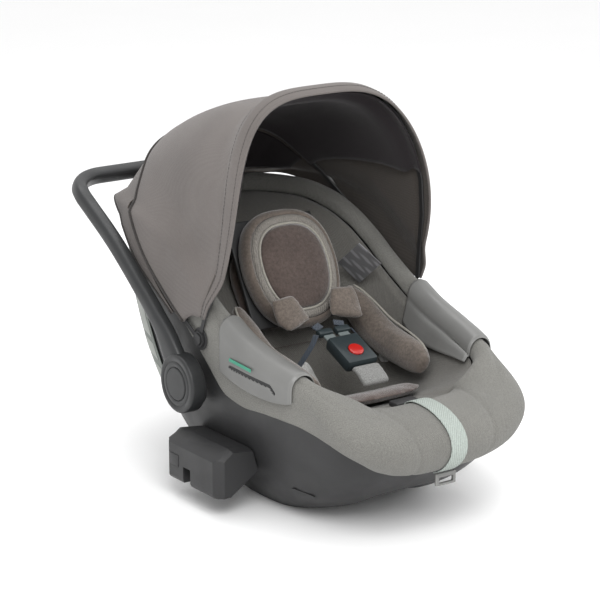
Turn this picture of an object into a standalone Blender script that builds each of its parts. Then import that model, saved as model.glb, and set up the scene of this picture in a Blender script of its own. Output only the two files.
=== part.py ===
"""Infant car seat with carry handle, folding canopy and five-point harness.

Metres, +Z up, feet towards -Y, head towards +Y.  The flat underside of the
shell stands on z = 0.
"""
import math
import bpy
import bmesh
from mathutils import Vector

# ---------------------------------------------------------------- dimensions
GAP = 0.0004                 # clearance between touching pieces
WALL = 0.0040                # shell wall
SEG = 44                     # points round the bucket

# bucket surface by height: (z, value)
HALF_WIDTH = [(0, .112), (.02, .128), (.05, .145), (.10, .161), (.15, .172),
              (.20, .177), (.26, .1795), (.32, .1785), (.42, .172)]
FRONT_Y = [(0, -.140), (.015, -.186), (.038, -.232), (.059, -.262),
           (.075, -.280), (.097, -.298), (.13, -.312), (.16, -.316), (.42, -.316)]
BACK_Y = [(0, .045), (.02, .105), (.044, .150), (.081, .188), (.146, .236),
          (.218, .272), (.293, .300), (.375, .322), (.42, .330)]
CENTRE_Y = [(0, -.045), (.10, -.030), (.20, .000), (.42, .030)]
SQUARE_FRONT, SQUARE_BACK = 3.6, 3.2   # superellipse exponents of the plan
ARCH = 0.012                 # height of the channel between the two runners
ARCH_HALF = 0.062            # its half width

# rim crest and lower edge of the cover, by the rim's y
CREST_Z = [(-.316, .176), (-.29, .186), (-.25, .205), (-.20, .224), (-.15, .236),
           (-.092, .252), (-.04, .276), (.003, .302), (.04, .329), (.077, .351),
           (.12, .367), (.177, .376), (.32, .378)]
EDGE_Z = [(-.316, .090), (-.279, .128), (-.237, .147), (-.194, .156),
          (-.138, .157), (-.089, .154), (-.045, .160), (-.01, .198), (.03, .240),
          (.08, .285), (.13, .315), (.20, .334), (.32, .340)]
SHELL_DROP = 0.026           # shell's top edge below the crest
# middle line of the inside of the seat, by y
FLOOR_Z = [(-.30, .160), (-.25, .158), (-.20, .150), (-.15, .136), (-.10, .118),
           (-.06, .108), (-.03, .118), (.0, .148), (.05, .205), (.10, .258),
           (.15, .303), (.20, .337), (.25, .355), (.30, .362)]
LINING = 0.004
FOAM_THICK = 0.012
SEAT_CENTRE = (0.0, -0.02)

HANDLE_PIVOT = (0.014, 0.167)        # y, z
HANDLE_LEAN = 54.7                   # degrees back from upright at rest
HANDLE_REACH = 0.3957
HANDLE_CORNER = 0.064
ARM_OUTER = 0.2125
ARM_INNER = [(0, .1915), (.15, .1915), (.21, .1910), (.40, .1910)]   # by reach
HUB_R = 0.042
HUB_IN, HUB_OUT = 0.1905, 0.2135
CAP_R = 0.0235
BOSS_R = 0.034
# arm's middle line above the pivot line, and its half width, by reach
ARM_RISE = [(0, 0), (.04, .016), (.08, .027), (.13, .031), (.22, .033),
            (.29, .029), (.345, .022), (.38, .007), (.3957, 0)]
ARM_HALF = [(0, .024), (.05, .019), (.10, .0125), (.2, .0115), (.3957, .0115)]

CANOPY_PIVOT = (-0.004, 0.232)       # y, z
CANOPY_WIDE, CANOPY_SLIM = 0.1904, 0.1765   # half width beside the rim and above it
CANOPY_SQ = 3.3
FRONT_EDGE = 6.5                     # degrees forward of upright
FRONT_BOW = 3.2
REAR_EDGE = -46.5                    # degrees back of upright
REAR_BOW = -45.4
CANOPY_R = [(-46.5, .345), (-43, .3425), (-36, .334), (-26, .325), (-16, .3200),
            (-8, .3170), (-4, .3165), (-1, .321), (1, .333), (2.5, .3395),
            (4.2, .3390), (6.5, .334)]
CANOPY_BOW = [(-46.5, -.030), (-25, -.004), (-5, .022), (2, .036), (6.5, .0425)]
FABRIC = 0.0022
BOW_X = (0.1847, 0.1879)             # layer of the bows beside the rim

RECLINE = 62.0                       # head pad's slope in degrees
HEAD_PAD_CENTRE = (0.020, 0.305)     # middle of its front face: y, z

BLACK = ("black_plastic", (.040, .040, .041), .45, 0)
HANDLE_BLACK = ("handle_plastic", (.032, .033, .034), .40, 0)
GREY_PLASTIC = ("satin_grey_plastic", (.30, .30, .295), .38, 0)
GREEN = ("green_plastic", (.10, .45, .30), .40, 0)
RED = ("red_plastic", (.68, .025, .02), .35, 0)
SLATE = ("slate_plastic", (.035, .048, .052), .35, 0)
STEEL = ("tongue_metal", (.62, .64, .66), .28, 1)
COVER = ("cover_fabric", (.235, .230, .215), .90, 0)
CANOPY = ("canopy_fabric", (.185, .165, .155), .88, 0)
VELVET = ("insert_fabric", (.145, .120, .110), .95, 0)
WEB = ("webbing", (.085, .115, .130), .75, 0)
STRAP = ("pull_strap", (.62, .68, .64), .80, 0)
LABEL = ("woven_label", (.42, .42, .43), .60, 0)
PAPER = ("label_plate", (.72, .73, .71), .50, 0)
FOAM = ("foam", (.55, .55, .54), .95, 0)


# ------------------------------------------------------------------- helpers
def curve(x, knots):
    """Smooth monotone value at x through (x, value) knots."""
    if x <= knots[0][0]:
        return knots[0][1]
    if x >= knots[-1][0]:
        return knots[-1][1]
    i = 0
    while x > knots[i + 1][0]:
        i += 1

    def chord(j):
        return (knots[j + 1][1] - knots[j][1]) / (knots[j + 1][0] - knots[j][0])

    def slope(j):
        if j == 0:
            return chord(0)
        if j == len(knots) - 1:
            return chord(j - 1)
        a, b = chord(j - 1), chord(j)
        return 0.0 if a * b <= 0 else 2 * a * b / (a + b)
    h = knots[i + 1][0] - knots[i][0]
    t = (x - knots[i][0]) / h
    return ((2 * t ** 3 - 3 * t ** 2 + 1) * knots[i][1] + (t ** 3 - 2 * t ** 2 + t) * h * slope(i)
            + (3 * t ** 2 - 2 * t ** 3) * knots[i + 1][1] + (t ** 3 - t ** 2) * h * slope(i + 1))


def lerp(a, b, t):
    return a + (b - a) * t


def smooth(t):
    t = min(1.0, max(0.0, t))
    return t * t * (3 - 2 * t)


def material(spec):
    name, rgb, rough, metal = spec
    m = bpy.data.materials.get(name)
    if m is None:
        m = bpy.data.materials.new(name)
        m.use_nodes = True
        b = m.node_tree.nodes["Principled BSDF"]
        b.inputs["Base Color"].default_value = (*rgb, 1)
        b.inputs["Roughness"].default_value = rough
        b.inputs["Metallic"].default_value = metal
        m.diffuse_color = (*rgb, 1)
    return m


def make(name, verts, faces, spec, origin=(0, 0, 0), round_shade=True, split=True):
    """One closed mesh object, faces turned outward, origin where asked."""
    o = Vector(origin)
    me = bpy.data.meshes.new(name)
    me.from_pydata([Vector(v) - o for v in verts], [], faces)
    bm = bmesh.new()
    bm.from_mesh(me)
    bmesh.ops.remove_doubles(bm, verts=bm.verts, dist=1e-6)
    if split:
        bmesh.ops.triangulate(bm, faces=bm.faces, quad_method="SHORT_EDGE")
    bmesh.ops.recalc_face_normals(bm, faces=bm.faces)
    if bm.calc_volume(signed=True) < 0:
        bmesh.ops.reverse_faces(bm, faces=bm.faces)
    for f in bm.faces:
        f.smooth = round_shade
    bm.to_mesh(me)
    bm.free()
    ob = bpy.data.objects.new(name, me)
    ob.location = o
    bpy.context.scene.collection.objects.link(ob)
    ob.data.materials.append(material(spec))
    return ob


def skin(rings, wrap=True, close=False, caps=True):
    """Faces through equal rings; close joins the last ring to the first."""
    n = len(rings[0])
    verts = [p for r in rings for p in r]
    faces = []
    pairs = len(rings) if close else len(rings) - 1
    for i in range(pairs):
        a, b = i * n, ((i + 1) % len(rings)) * n
        for j in range(n if wrap else n - 1):
            k = (j + 1) % n
            faces.append((a + j, a + k, b + k, b + j))
    if caps and not close:
        for r, flip in ((0, True), (len(rings) - 1, False)):
            c = len(verts)
            mid = sum((Vector(p) for p in rings[r]), Vector()) / n
            verts.append(mid)
            for j in range(n):
                k = (j + 1) % n
                f = (c, r * n + j, r * n + k)
                faces.append(f[::-1] if flip else f)
    return verts, faces


def slab(top, bottom):
    """Closed slab between two equal grids of points."""
    nu, nv = len(top), len(top[0])
    verts = [p for r in top for p in r] + [p for r in bottom for p in r]
    off = nu * nv
    faces = []
    for i in range(nu - 1):
        for j in range(nv - 1):
            a, b, c, d = i * nv + j, (i + 1) * nv + j, (i + 1) * nv + j + 1, i * nv + j + 1
            faces.append((a, b, c, d))
            faces.append((off + d, off + c, off + b, off + a))
    edge = [(i, 0) for i in range(nu)] + [(nu - 1, j) for j in range(1, nv)]
    edge += [(i, nv - 1) for i in range(nu - 2, -1, -1)] + [(0, j) for j in range(nv - 2, 0, -1)]
    for e in range(len(edge)):
        (i, j), (k, m) = edge[e], edge[(e + 1) % len(edge)]
        a, b = i * nv + j, k * nv + m
        faces.append((b, a, off + a, off + b))
    return verts, faces


def sweep(path, side, half_a, half_b, power=4, n=16):
    """Rings of a rounded section along a path.  side(i) gives the first axis."""
    rings = []
    for i, p in enumerate(path):
        p = Vector(p)
        a, b = Vector(path[max(i - 1, 0)]), Vector(path[min(i + 1, len(path) - 1)])
        t = (b - a).normalized()
        u = Vector(side(i))
        u = (u - t * u.dot(t)).normalized()
        v = t.cross(u)
        ha = half_a(i) if callable(half_a) else half_a
        hb = half_b(i) if callable(half_b) else half_b
        ring = []
        for k in range(n):
            c, s = math.cos(2 * math.pi * k / n), math.sin(2 * math.pi * k / n)
            r = 1 / (abs(c) ** power + abs(s) ** power) ** (1 / power)
            ring.append(p + u * (ha * r * c) + v * (hb * r * s))
        rings.append(ring)
    return rings


def disc_x(name, spec, x0, x1, y, z, r, edge=0.0008, n=32, origin=None):
    """Round slug along X with softened edges."""
    s = 1 if x1 > x0 else -1
    prof = [(x0, r - edge), (x0 + s * edge, r), (x1 - s * edge, r), (x1, r - edge)]
    rings = [[(x, y + q * math.cos(2 * math.pi * k / n), z + q * math.sin(2 * math.pi * k / n))
              for k in range(n)] for x, q in prof]
    v, f = skin(rings)
    return make(name, v, f, spec, origin or (x0, y, z), split=False)


def rounded_box(name, spec, centre, size, r=0.002, axes=None, origin=None, seg=2):
    """Box with rounded edges; axes are its three directions."""
    axes = [Vector(a).normalized() for a in (axes or ((1, 0, 0), (0, 1, 0), (0, 0, 1)))]
    bm = bmesh.new()
    bmesh.ops.create_cube(bm, size=1)
    for v in bm.verts:
        v.co = Vector([v.co[i] * size[i] for i in range(3)])
    bmesh.ops.bevel(bm, geom=list(bm.edges), offset=r, segments=seg, affect="EDGES", profile=.5)
    verts = [Vector(centre) + axes[0] * v.co.x + axes[1] * v.co.y + axes[2] * v.co.z
             for v in bm.verts]
    faces = [[v.index for v in f.verts] for f in bm.faces]
    bm.free()
    return make(name, verts, faces, spec, origin or centre, round_shade=False, split=False)


def combine(ob, other, op):
    """Boolean of two objects, kept in the first."""
    mod = ob.modifiers.new("join", "BOOLEAN")
    mod.operation = op
    mod.solver = "EXACT"
    mod.object = other
    deps = bpy.context.evaluated_depsgraph_get()
    deps.update()
    me = bpy.data.meshes.new_from_object(ob.evaluated_get(deps))
    ob.modifiers.clear()
    old = ob.data
    ob.data = me
    bpy.data.meshes.remove(old)
    bpy.data.objects.remove(other)
    return ob


# -------------------------------------------------------------- bucket shape
def plan(th, z):
    """Point of the bucket's outside at angle th and height z."""
    c, s = math.cos(th), math.sin(th)
    e = SQUARE_BACK if s > 0 else SQUARE_FRONT
    r = 1 / (abs(c) ** e + abs(s) ** e) ** (1 / e)
    yc = curve(z, CENTRE_Y)
    reach = curve(z, BACK_Y) - yc if s > 0 else yc - curve(z, FRONT_Y)
    return curve(z, HALF_WIDTH) * r * c, yc + reach * r * s


def at(th, z, n=0.0):
    """The same, moved n metres inward."""
    x, y = plan(th, z)
    if n:
        a, b = plan(th - .01, z), plan(th + .01, z)
        dx, dy = b[0] - a[0], b[1] - a[1]
        k = math.hypot(dx, dy)
        x, y = x - dy / k * n, y + dx / k * n
    return Vector((x, y, z))


def arched(p):
    """Raises the middle of the underside, leaving a runner at each side."""
    w = max(0.0, 1 - p.z / .05) * (1 - smooth((abs(p.x) - .6 * ARCH_HALF) / (.4 * ARCH_HALF)))
    return Vector((p.x, p.y, p.z + ARCH * w))


def angles():
    return [2 * math.pi * (k + .5) / SEG for k in range(SEG)]


def crest(th):
    return curve(plan(th, .20)[1], CREST_Z)


def edge_z(th):
    return curve(plan(th, .20)[1], EDGE_Z)


def nose(th):
    """1 on the padded lip at the feet, 0 on the sides and back."""
    return smooth((-.215 - plan(th, .20)[1]) / .085)


def shell_levels(th):
    ze, zt = edge_z(th), crest(th) - SHELL_DROP
    low = [ze * t for t in (0, .08, .22, .42, .70)]
    return low + [lerp(ze, zt, t) for t in (0, .5, 1)]


def cap_rings(ring, zs, shares):
    c = Vector((0, -.045, 0))
    out = []
    for s in shares:
        out.append([arched(Vector((c.x + (p.x - c.x) * s, c.y + (p.y - c.y) * s, zs)))
                    for p in ring])
    return out


def shell():
    th = angles()
    lev = [shell_levels(t) for t in th]
    n = len(lev[0])
    foot = [at(t, 0) for t in th]
    rings = cap_rings(foot, 0.0, (.2, .45, .7, .9))
    rings += [[arched(at(t, lev[j][i])) for j, t in enumerate(th)] for i in range(n)]
    rings += [[arched(at(t, lev[j][i], WALL)) for j, t in enumerate(th)]
              for i in range(n - 1, 0, -1)]
    inner = [at(t, .005, WALL) for t in th]
    rings += [[arched(p) for p in inner]]
    rings += cap_rings(inner, .005, (.9, .7, .45, .2))
    v, f = skin(rings)
    return make("shell", v, f, BLACK)


def cover_profile(th):
    """Cross-section of the padded rim: (inward distance, height)."""
    zc, ze, w = crest(th), edge_z(th), nose(th)
    zt = zc - SHELL_DROP
    b, nr = lerp(.0025 + .004 * smooth((plan(th, .2)[1] - .06) / .1), .0347, w), lerp(.015, .042, w)
    ni, r2 = lerp(.031, .070, w), lerp(.020, .012, w)
    zm = lerp(ze, zc, lerp(.62, .45, w))
    pts = []
    for a in (-90, -62, -35, 0):
        a = math.radians(a)
        pts.append((-GAP - (b - GAP) * math.cos(a) ** .8, zm + (zm - ze) * math.sin(a)))
    for a in (25, 48, 70, 90):
        a = math.radians(a)
        pts.append((-b + (nr + b) * (1 - math.cos(a)), zm + (zc - zm) * math.sin(a)))
    for a in (35, 65, 90):
        a = math.radians(a)
        pts.append((nr + (ni - nr) * math.sin(a), zc - r2 * (1 - math.cos(a))))
    zb = zt - .012
    pts += [(WALL + 2 * GAP, zb), (WALL + 2 * GAP, zt + GAP), (-GAP, zt + GAP)]
    pts += [(-GAP, lerp(ze, zt, .5))]
    return pts


def rim_cover():
    th = angles()
    profs = []
    for t in th:
        prof = cover_profile(t)
        ring = [at(t, z, n) for n, z in prof]
        ring.insert(11, Vector((ring[10].x, ring[10].y, prof[11][1])))
        profs.append(ring)
    v, f = skin(profs, close=True, caps=False)
    return make("rim_cover", v, f, COVER)


def lining_edge(th):
    w = nose(th)
    p = at(th, crest(th) - lerp(.020, .012, w), lerp(.031, .070, w) + 2 * GAP)
    return Vector((p.x, p.y, p.z - .003))


def edge_table():
    table = []
    for k in range(180):
        p = lining_edge(2 * math.pi * k / 180)
        dx, dy = p.x - SEAT_CENTRE[0], p.y - SEAT_CENTRE[1]
        table.append((math.atan2(dy, dx), math.hypot(dx, dy), p.z))
    table.sort()
    a, b = table[0], table[-1]
    return [(b[0] - 2 * math.pi, b[1], b[2])] + table + [(a[0] + 2 * math.pi, a[1], a[2])]


EDGE_TABLE = edge_table()


def seat_z(x, y):
    """Height of the lined inside of the seat."""
    dx, dy = x - SEAT_CENTRE[0], y - SEAT_CENTRE[1]
    a, r = math.atan2(dy, dx), math.hypot(dx, dy)
    i = 0
    while EDGE_TABLE[i + 1][0] < a:
        i += 1
    p, q = EDGE_TABLE[i], EDGE_TABLE[i + 1]
    t = (a - p[0]) / (q[0] - p[0])
    s = min(1.0, r / lerp(p[1], q[1], t))
    return lerp(curve(y, FLOOR_Z), lerp(p[2], q[2], t), s ** 4.5)


def seat_rings(drop, shares, inset=0.0):
    c = Vector((SEAT_CENTRE[0], SEAT_CENTRE[1], 0))
    out = []
    for s in shares:
        ring = []
        for t in angles():
            e = lining_edge(t)
            d = Vector((e.x - c.x, e.y - c.y, 0))
            p = c + d * s - d.normalized() * inset * s
            q = c + d * s
            ring.append(Vector((p.x, p.y, (e.z if s == 1 else seat_z(q.x, q.y)) - drop)))
        out.append(ring)
    return out


SHARES = (.18, .38, .56, .72, .85, .94, 1)


def seat_lining():
    rings = seat_rings(0, SHARES) + seat_rings(LINING, SHARES[::-1])
    v, f = skin(rings)
    return make("seat_lining", v, f, COVER)


def foam_liner():
    """Moulded foam bowl that carries the lining."""
    d = LINING + .0010
    v, f = skin(seat_rings(d, SHARES) + seat_rings(d + FOAM_THICK, SHARES[::-1]))
    return make("foam_liner", v, f, FOAM)


# ------------------------------------------------------------ shell fittings
def side_plate(s):
    """Label plate on the shell's side, behind the handle."""
    top, bottom = [], []
    for i in range(6):
        u = i / 5
        row_a, row_b = [], []
        for j in range(7):
            v = j / 6
            y = lerp(lerp(.095, .170, v), lerp(.178, .248, v), u)
            z = lerp(.105, .262, v)
            z += .006 * math.sin(math.pi * u)
            x = side_x(y, z)
            row_a.append((s * (x + .0028), y, z))
            row_b.append((s * (x + .0016), y, z))
        top.append(row_a)
        bottom.append(row_b)
    v, f = slab(top, bottom)
    return make("side_plate_" + ("left" if s < 0 else "right"), v, f, PAPER)


def side_x(y, z):
    """Half width of the bucket's outside at (y, z)."""
    yc = curve(z, CENTRE_Y)
    reach = curve(z, BACK_Y) - yc if y > yc else yc - curve(z, FRONT_Y)
    e = SQUARE_BACK if y > yc else SQUARE_FRONT
    k = min(.999, abs(y - yc) / reach)
    return curve(z, HALF_WIDTH) * (1 - k ** e) ** (1 / e)


def corner_plug(s):
    """Three-cornered cap low on the shell near the feet."""
    pts = [(-.200, .046), (-.160, .052), (-.158, .024)]
    rim = []
    for i in range(3):
        a, b, c = (Vector(pts[(i + d) % 3]) for d in (-1, 0, 1))
        rim += [b.lerp(a, .16), b.lerp(a, .05).lerp(c, .05), b.lerp(c, .16)]
    mid = Vector((sum(p[0] for p in pts) / 3, sum(p[1] for p in pts) / 3))
    rings = []
    for out, scale in ((GAP, 0.5), (GAP, 1), (.0016, 1), (.0016, .5)):
        ring = []
        for q in rim:
            p = mid.lerp(q, scale)
            ring.append((s * (side_x(p.x, p.y) + out + .0006), p.x, p.y))
        rings.append(ring)
    v, f = skin(rings)
    return make("corner_plug_" + ("left" if s < 0 else "right"), v, f, BLACK)


CONN_Y = (-.097, .038)       # connector block, front to back
CONN_Z = (.029, .096)
CONN_X = .2190               # its outer face
SLOT_Y = (-.028, -.010)


def connector(s):
    """Side adapter block: chamfered top, skirt below with a slot."""
    x1 = CONN_X
    prof = [(x1 - .022, CONN_Z[0]), (x1 - .002, CONN_Z[0]), (x1, CONN_Z[0] + .004),
            (x1, .081), (x1 - .003, .0855), (x1 - .026, CONN_Z[1])]
    ys = [CONN_Y[0], CONN_Y[0] + .006, CONN_Y[0] + .012, CONN_Y[1] - .012, CONN_Y[1] - .006,
          CONN_Y[1]]
    trim = [.012, .004, 0, 0, .004, .012]
    rings = []
    for y, t in zip(ys, trim):
        ring = []
        for x, z in prof:
            ring.append((s * min(x, x1 - t), y, z - (t * .25 if z > .08 else 0)))
        # inner corner follows the bucket's side
        zi = (.060, .092)
        ring.append((s * (side_x(y, zi[1]) + .0012), y, zi[1] - t * .25))
        ring.append((s * (side_x(y, zi[0]) + .0030), y, zi[0]))
        rings.append(ring)
    v, f = skin(rings)
    side = "left" if s < 0 else "right"
    ob = make("connector_" + side, v, f, BLACK, round_shade=False)
    cut = rounded_box("cut", BLACK, (s * (x1 - .006), sum(SLOT_Y) / 2, CONN_Z[0] + .010),
                      (.034, SLOT_Y[1] - SLOT_Y[0], .028), r=.001, seg=1)
    combine(ob, cut, "DIFFERENCE")
    pocket = rounded_box("cut", BLACK, (s * (x1 - .004), .012, .058), (.020, .022, .018),
                         r=.001, seg=1)
    return combine(ob, pocket, "DIFFERENCE")


def connector_latch(s):
    """Sprung catch in the block's outer face that holds a base or chassis."""
    x1 = CONN_X
    return rounded_box("connector_latch_" + ("left" if s < 0 else "right"), BLACK,
                       (s * (x1 - .0035), .012, .058), (.009, .0212, .0172), r=.0008,
                       origin=(s * (x1 - .0035), .012, .058))


def boss(s):
    """Round boss on the shell's side that carries the handle."""
    y, z = HANDLE_PIVOT
    n = 32
    rings = []
    for k, r in ((0, BOSS_R), (1, BOSS_R), (1, BOSS_R - .002)):
        ring = []
        for i in range(n):
            a = 2 * math.pi * i / n
            py, pz = y + r * math.cos(a), z + r * math.sin(a)
            x = side_x(py, pz) + .0103 if k == 0 else HUB_IN - GAP
            ring.append((s * (x if k == 0 else (x if r < BOSS_R else x - .001)), py, pz))
        rings.append(ring)
    v, f = skin(rings)
    ob = make("handle_boss_" + ("left" if s < 0 else "right"), v, f, BLACK)
    bore = disc_x("cut", BLACK, s * .1855, s * .1950, y, z, .0083, edge=.0001, n=20)
    return combine(ob, bore, "DIFFERENCE")


def belt_guide(s):
    """Saddle-shaped guide over the rim, with a belt slot in its outer face."""
    y0, y1, n = -.205, -.050, 11
    thick = .0030
    top, bottom = [], []
    for i in range(n):
        u = i / (n - 1)
        y = lerp(y0, y1, u)
        zc = curve(y, CREST_Z)
        end = math.sin(math.pi * (.10 + .80 * u)) ** .35
        xo, xi = side_x(y, .2) + .0040, side_x(y, .2) - .0315
        xm, hw = (xo + xi) / 2, (xo - xi) / 2
        zo = lerp(.178, .190, u) + (1 - end) * .03
        base = [(xo + .001, lerp(zo, zc - .022, t)) for t in (0, .33, .67)]
        for k in range(7):
            a = math.pi * k / 6
            base.append((xm + (hw + .001) * math.cos(a), zc - .022 + .0235 * math.sin(a) ** .8))
        for t in (.4, 1):
            x = xi - .001 - t * .014 * end
            base.append((x, min(zc - .022, seat_z(x + .004, y) + .0035)))
        outer = []
        for k, (x, z) in enumerate(base):
            p, q = base[max(k - 1, 0)], base[min(k + 1, len(base) - 1)]
            dx, dz = q[0] - p[0], q[1] - p[1]
            m = math.hypot(dx, dz)
            outer.append((x + dz / m * thick, z - dx / m * thick))
        bottom.append([(s * x, y, z) for x, z in base])
        top.append([(s * x, y, z) for x, z in outer])
    v, f = slab(top, bottom)
    ob = make("belt_guide_" + ("left" if s < 0 else "right"), v, f, GREY_PLASTIC)
    xo = side_x(-.125, .2)
    cut = rounded_box("cut", BLACK, (s * (xo + .012), -.128, .2085), (.018, .104, .006),
                      r=.001, seg=1, axes=((1, 0, 0), (0, 1, .06), (0, -.06, 1)))
    return combine(ob, cut, "DIFFERENCE")


def belt_marker(s):
    """Green insert on the guide's outer face that marks the belt's route."""
    y, z = -.105, .2195
    x = side_x(y, .2) + .0040 + .001 + .0030
    return rounded_box("belt_marker_" + ("left" if s < 0 else "right"), GREEN,
                       (s * (x + .0020), y, z), (.0016, .052, .0048), r=.0006, seg=1,
                       axes=((1, 0, 0), (0, 1, .06), (0, -.06, 1)))


# ------------------------------------------------------------------- handle
def handle_axes():
    a = math.radians(HANDLE_LEAN)
    return (Vector((0, math.sin(a), math.cos(a))), Vector((0, -math.cos(a), math.sin(a))))


def arm_middle(reach):
    return (ARM_OUTER + curve(reach, ARM_INNER)) / 2


def arm_thick(reach):
    return (ARM_OUTER - curve(reach, ARM_INNER)) / 2


def handle_path():
    """Middle line of the U: (x, reach) from the left hub to the right one."""
    pts = [(-arm_middle(r), r) for r in (.012, .05, .09, .13, .17, .21, .27)]
    c, x0 = HANDLE_CORNER, arm_middle(.3)
    for k in range(7):
        a = math.pi / 2 * k / 6
        pts.append((-(x0 - c) - c * math.cos(a), HANDLE_REACH - c + c * math.sin(a)))
    pts.append((0, HANDLE_REACH))
    return pts + [(-x, r) for x, r in pts[-2::-1]]


def handle():
    d, up = handle_axes()
    o = Vector((0, *HANDLE_PIVOT))
    flat = handle_path()
    path = [o + Vector((x, 0, 0)) + d * r + up * curve(r, ARM_RISE) for x, r in flat]
    rings = sweep(path, lambda i: up, lambda i: curve(flat[i][1], ARM_HALF),
                  lambda i: arm_thick(flat[i][1]), power=3.0, n=12)
    v, f = skin(rings)
    ob = make("handle", v, f, HANDLE_BLACK, origin=o, split=False)
    for s in (-1, 1):
        hub = disc_x("hub", HANDLE_BLACK, s * HUB_IN, s * HUB_OUT, *HANDLE_PIVOT, HUB_R,
                     edge=.002, n=30)
        combine(ob, hub, "UNION")
    for s in (-1, 1):
        recess = disc_x("cut", BLACK, s * .2000, s * .2300, *HANDLE_PIVOT, CAP_R + .0005,
                        edge=.0001, n=36)
        combine(ob, recess, "DIFFERENCE")
        bore = disc_x("cut", BLACK, s * .1880, s * .2050, *HANDLE_PIVOT, .0086,
                      edge=.0001, n=20)
        combine(ob, bore, "DIFFERENCE")
    return ob


def handle_pin(s):
    """Pin that the handle turns on, fixed in the boss."""
    return disc_x("handle_pin_" + ("left" if s < 0 else "right"), STEEL, s * .1860, s * .1990,
                  *HANDLE_PIVOT, .0080, n=20)


def handle_button(s):
    """Round push button in the hub; pressing both frees the handle."""
    return disc_x("handle_button_" + ("left" if s < 0 else "right"), HANDLE_BLACK,
                  s * .2048, s * (HUB_OUT + .0010), *HANDLE_PIVOT, CAP_R, edge=.0012, n=36)


# ------------------------------------------------------------------- canopy
def canopy_half(y, z):
    """Half width of the cloth: outside the rim, then leaning in above it."""
    t = smooth((z - curve(y, CREST_Z) + .004) / .060)
    return lerp(CANOPY_WIDE, CANOPY_SLIM, t)


def beside_rim(y, z):
    """Least half width of the cloth's outside where the rim and a bow lie under it."""
    return side_x(y, z) + .0025 + .004 * smooth((y - .06) / .1) + .0072


def canopy_point(alpha, psi, off=0.0):
    """Cloth's outer surface at alpha degrees forward of upright."""
    a = math.radians(alpha)
    c, s = math.cos(psi), math.sin(psi)
    k = 1 / (abs(c) ** CANOPY_SQ + abs(s) ** CANOPY_SQ) ** (1 / CANOPY_SQ)
    full = curve(alpha, CANOPY_R) + off
    r = full * k * c
    f = curve(alpha, CANOPY_BOW) * math.sin(math.pi * k * c)
    y = CANOPY_PIVOT[0] - r * math.sin(a) - f * math.cos(a)
    z = CANOPY_PIVOT[1] + r * math.cos(a) - f * math.sin(a)
    x = (canopy_half(y, z) + off) * k * abs(s)
    low = 1 - smooth((z - curve(y, CREST_Z) + .002) / .016)
    x = max(x, lerp(x, beside_rim(y, z) + off, low))
    return Vector((math.copysign(x, s), y, z))


def across(n, end=84.0):
    return [math.radians(-end + 2 * end * k / (n - 1)) for k in range(n)]


def bow(name, alpha, layer):
    """Flat strip bent over the seat, with an eye at each end for the pivot."""
    reach = curve(alpha, CANOPY_R)
    mid = -(FABRIC + .0006 + .0016)
    half = math.acos(.0360 / reach)
    psis = [-half] + across(21)[1:-1] + [half]
    path = [canopy_point(alpha, p, mid) for p in psis]
    flat = [(canopy_point(alpha + .8, p, mid) - canopy_point(alpha - .8, p, mid)).normalized()
            for p in psis]
    v, f = skin(sweep(path, lambda i: flat[i], .0046, .0016, power=4, n=8))
    pivot = Vector((0, *CANOPY_PIVOT))
    ob = make(name, v, f, BLACK, origin=pivot, split=False)
    start = Vector((0, path[0].y, path[0].z)) - pivot
    out = start.normalized()
    n = Vector((0, out.z, -out.y))
    x0 = BOW_X[0] + (0.0018 if layer else 0)
    for s in (-1, 1):
        tab = rounded_box("tab", BLACK, pivot + start * .5 + out * .0060 + Vector((s * (x0 + .0007), 0, 0)),
                          (.0014, .0070, start.length - .002), r=.0002, seg=1,
                          axes=((1, 0, 0), n, out))
        combine(ob, tab, "UNION")
        eye = disc_x("eye", BLACK, s * x0, s * (x0 + .0014), *CANOPY_PIVOT, .0115,
                     edge=.0002, n=18)
        combine(ob, eye, "UNION")
    for s in (-1, 1):
        hole = disc_x("cut", BLACK, s * .18, s * .195, *CANOPY_PIVOT, .0045, edge=.0001, n=16)
        combine(ob, hole, "DIFFERENCE")
    return ob


def canopy_bracket(s):
    """Pivot stud on the rim's side: base, shank through both eyes, head."""
    y, z = CANOPY_PIVOT
    prof = [(.1826, .0155), (.1832, .0160), (.1843, .0160), (.1843, .0041), (.1883, .0041),
            (.1883, .0085), (.1902, .0085), (.1907, .0075)]
    n = 20
    rings = [[(s * x, y + r * math.cos(2 * math.pi * k / n), z + r * math.sin(2 * math.pi * k / n))
              for k in range(n)] for x, r in prof]
    v, f = skin(rings)
    return make("canopy_bracket_" + ("left" if s < 0 else "right"), v, f, BLACK,
                origin=(s * prof[0][0], y, z), round_shade=False)


def canopy_cloth():
    """Main cloth, from the rear bow to the front bow, one curved sheet."""
    alphas = [REAR_EDGE, -44, -38, -29, -20, -12, -5, -1.5, .6, 2.4, 4.2, FRONT_EDGE]
    outer = [[canopy_point(a, p) for p in across(21)] for a in alphas]
    inner = [[canopy_point(a, p, -FABRIC) for p in across(21)] for a in alphas]
    v, f = slab(outer, inner)
    return make("canopy_cloth", v, f, CANOPY, origin=(0, *CANOPY_PIVOT))


def clear_of_rim(p, room):
    """Moves a point out to at least room metres from the bucket, below the crest."""
    yc = curve(p.z, CENTRE_Y)
    back = p.y > yc
    e = SQUARE_BACK if back else SQUARE_FRONT
    a = curve(p.z, HALF_WIDTH) + room
    b = (curve(p.z, BACK_Y) - yc if back else yc - curve(p.z, FRONT_Y)) + room
    f = ((abs(p.x) / a) ** e + (abs(p.y - yc) / b) ** e) ** (1 / e)
    start = curve(p.y, CREST_Z) + lerp(.003, -.006, smooth((p.y - .24) / .06))
    low = 1 - smooth((p.z - start) / .012)
    if f >= 1 or low == 0:
        return p
    q = Vector((p.x / f, yc + (p.y - yc) / f, p.z))
    return p.lerp(q, low)


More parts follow.
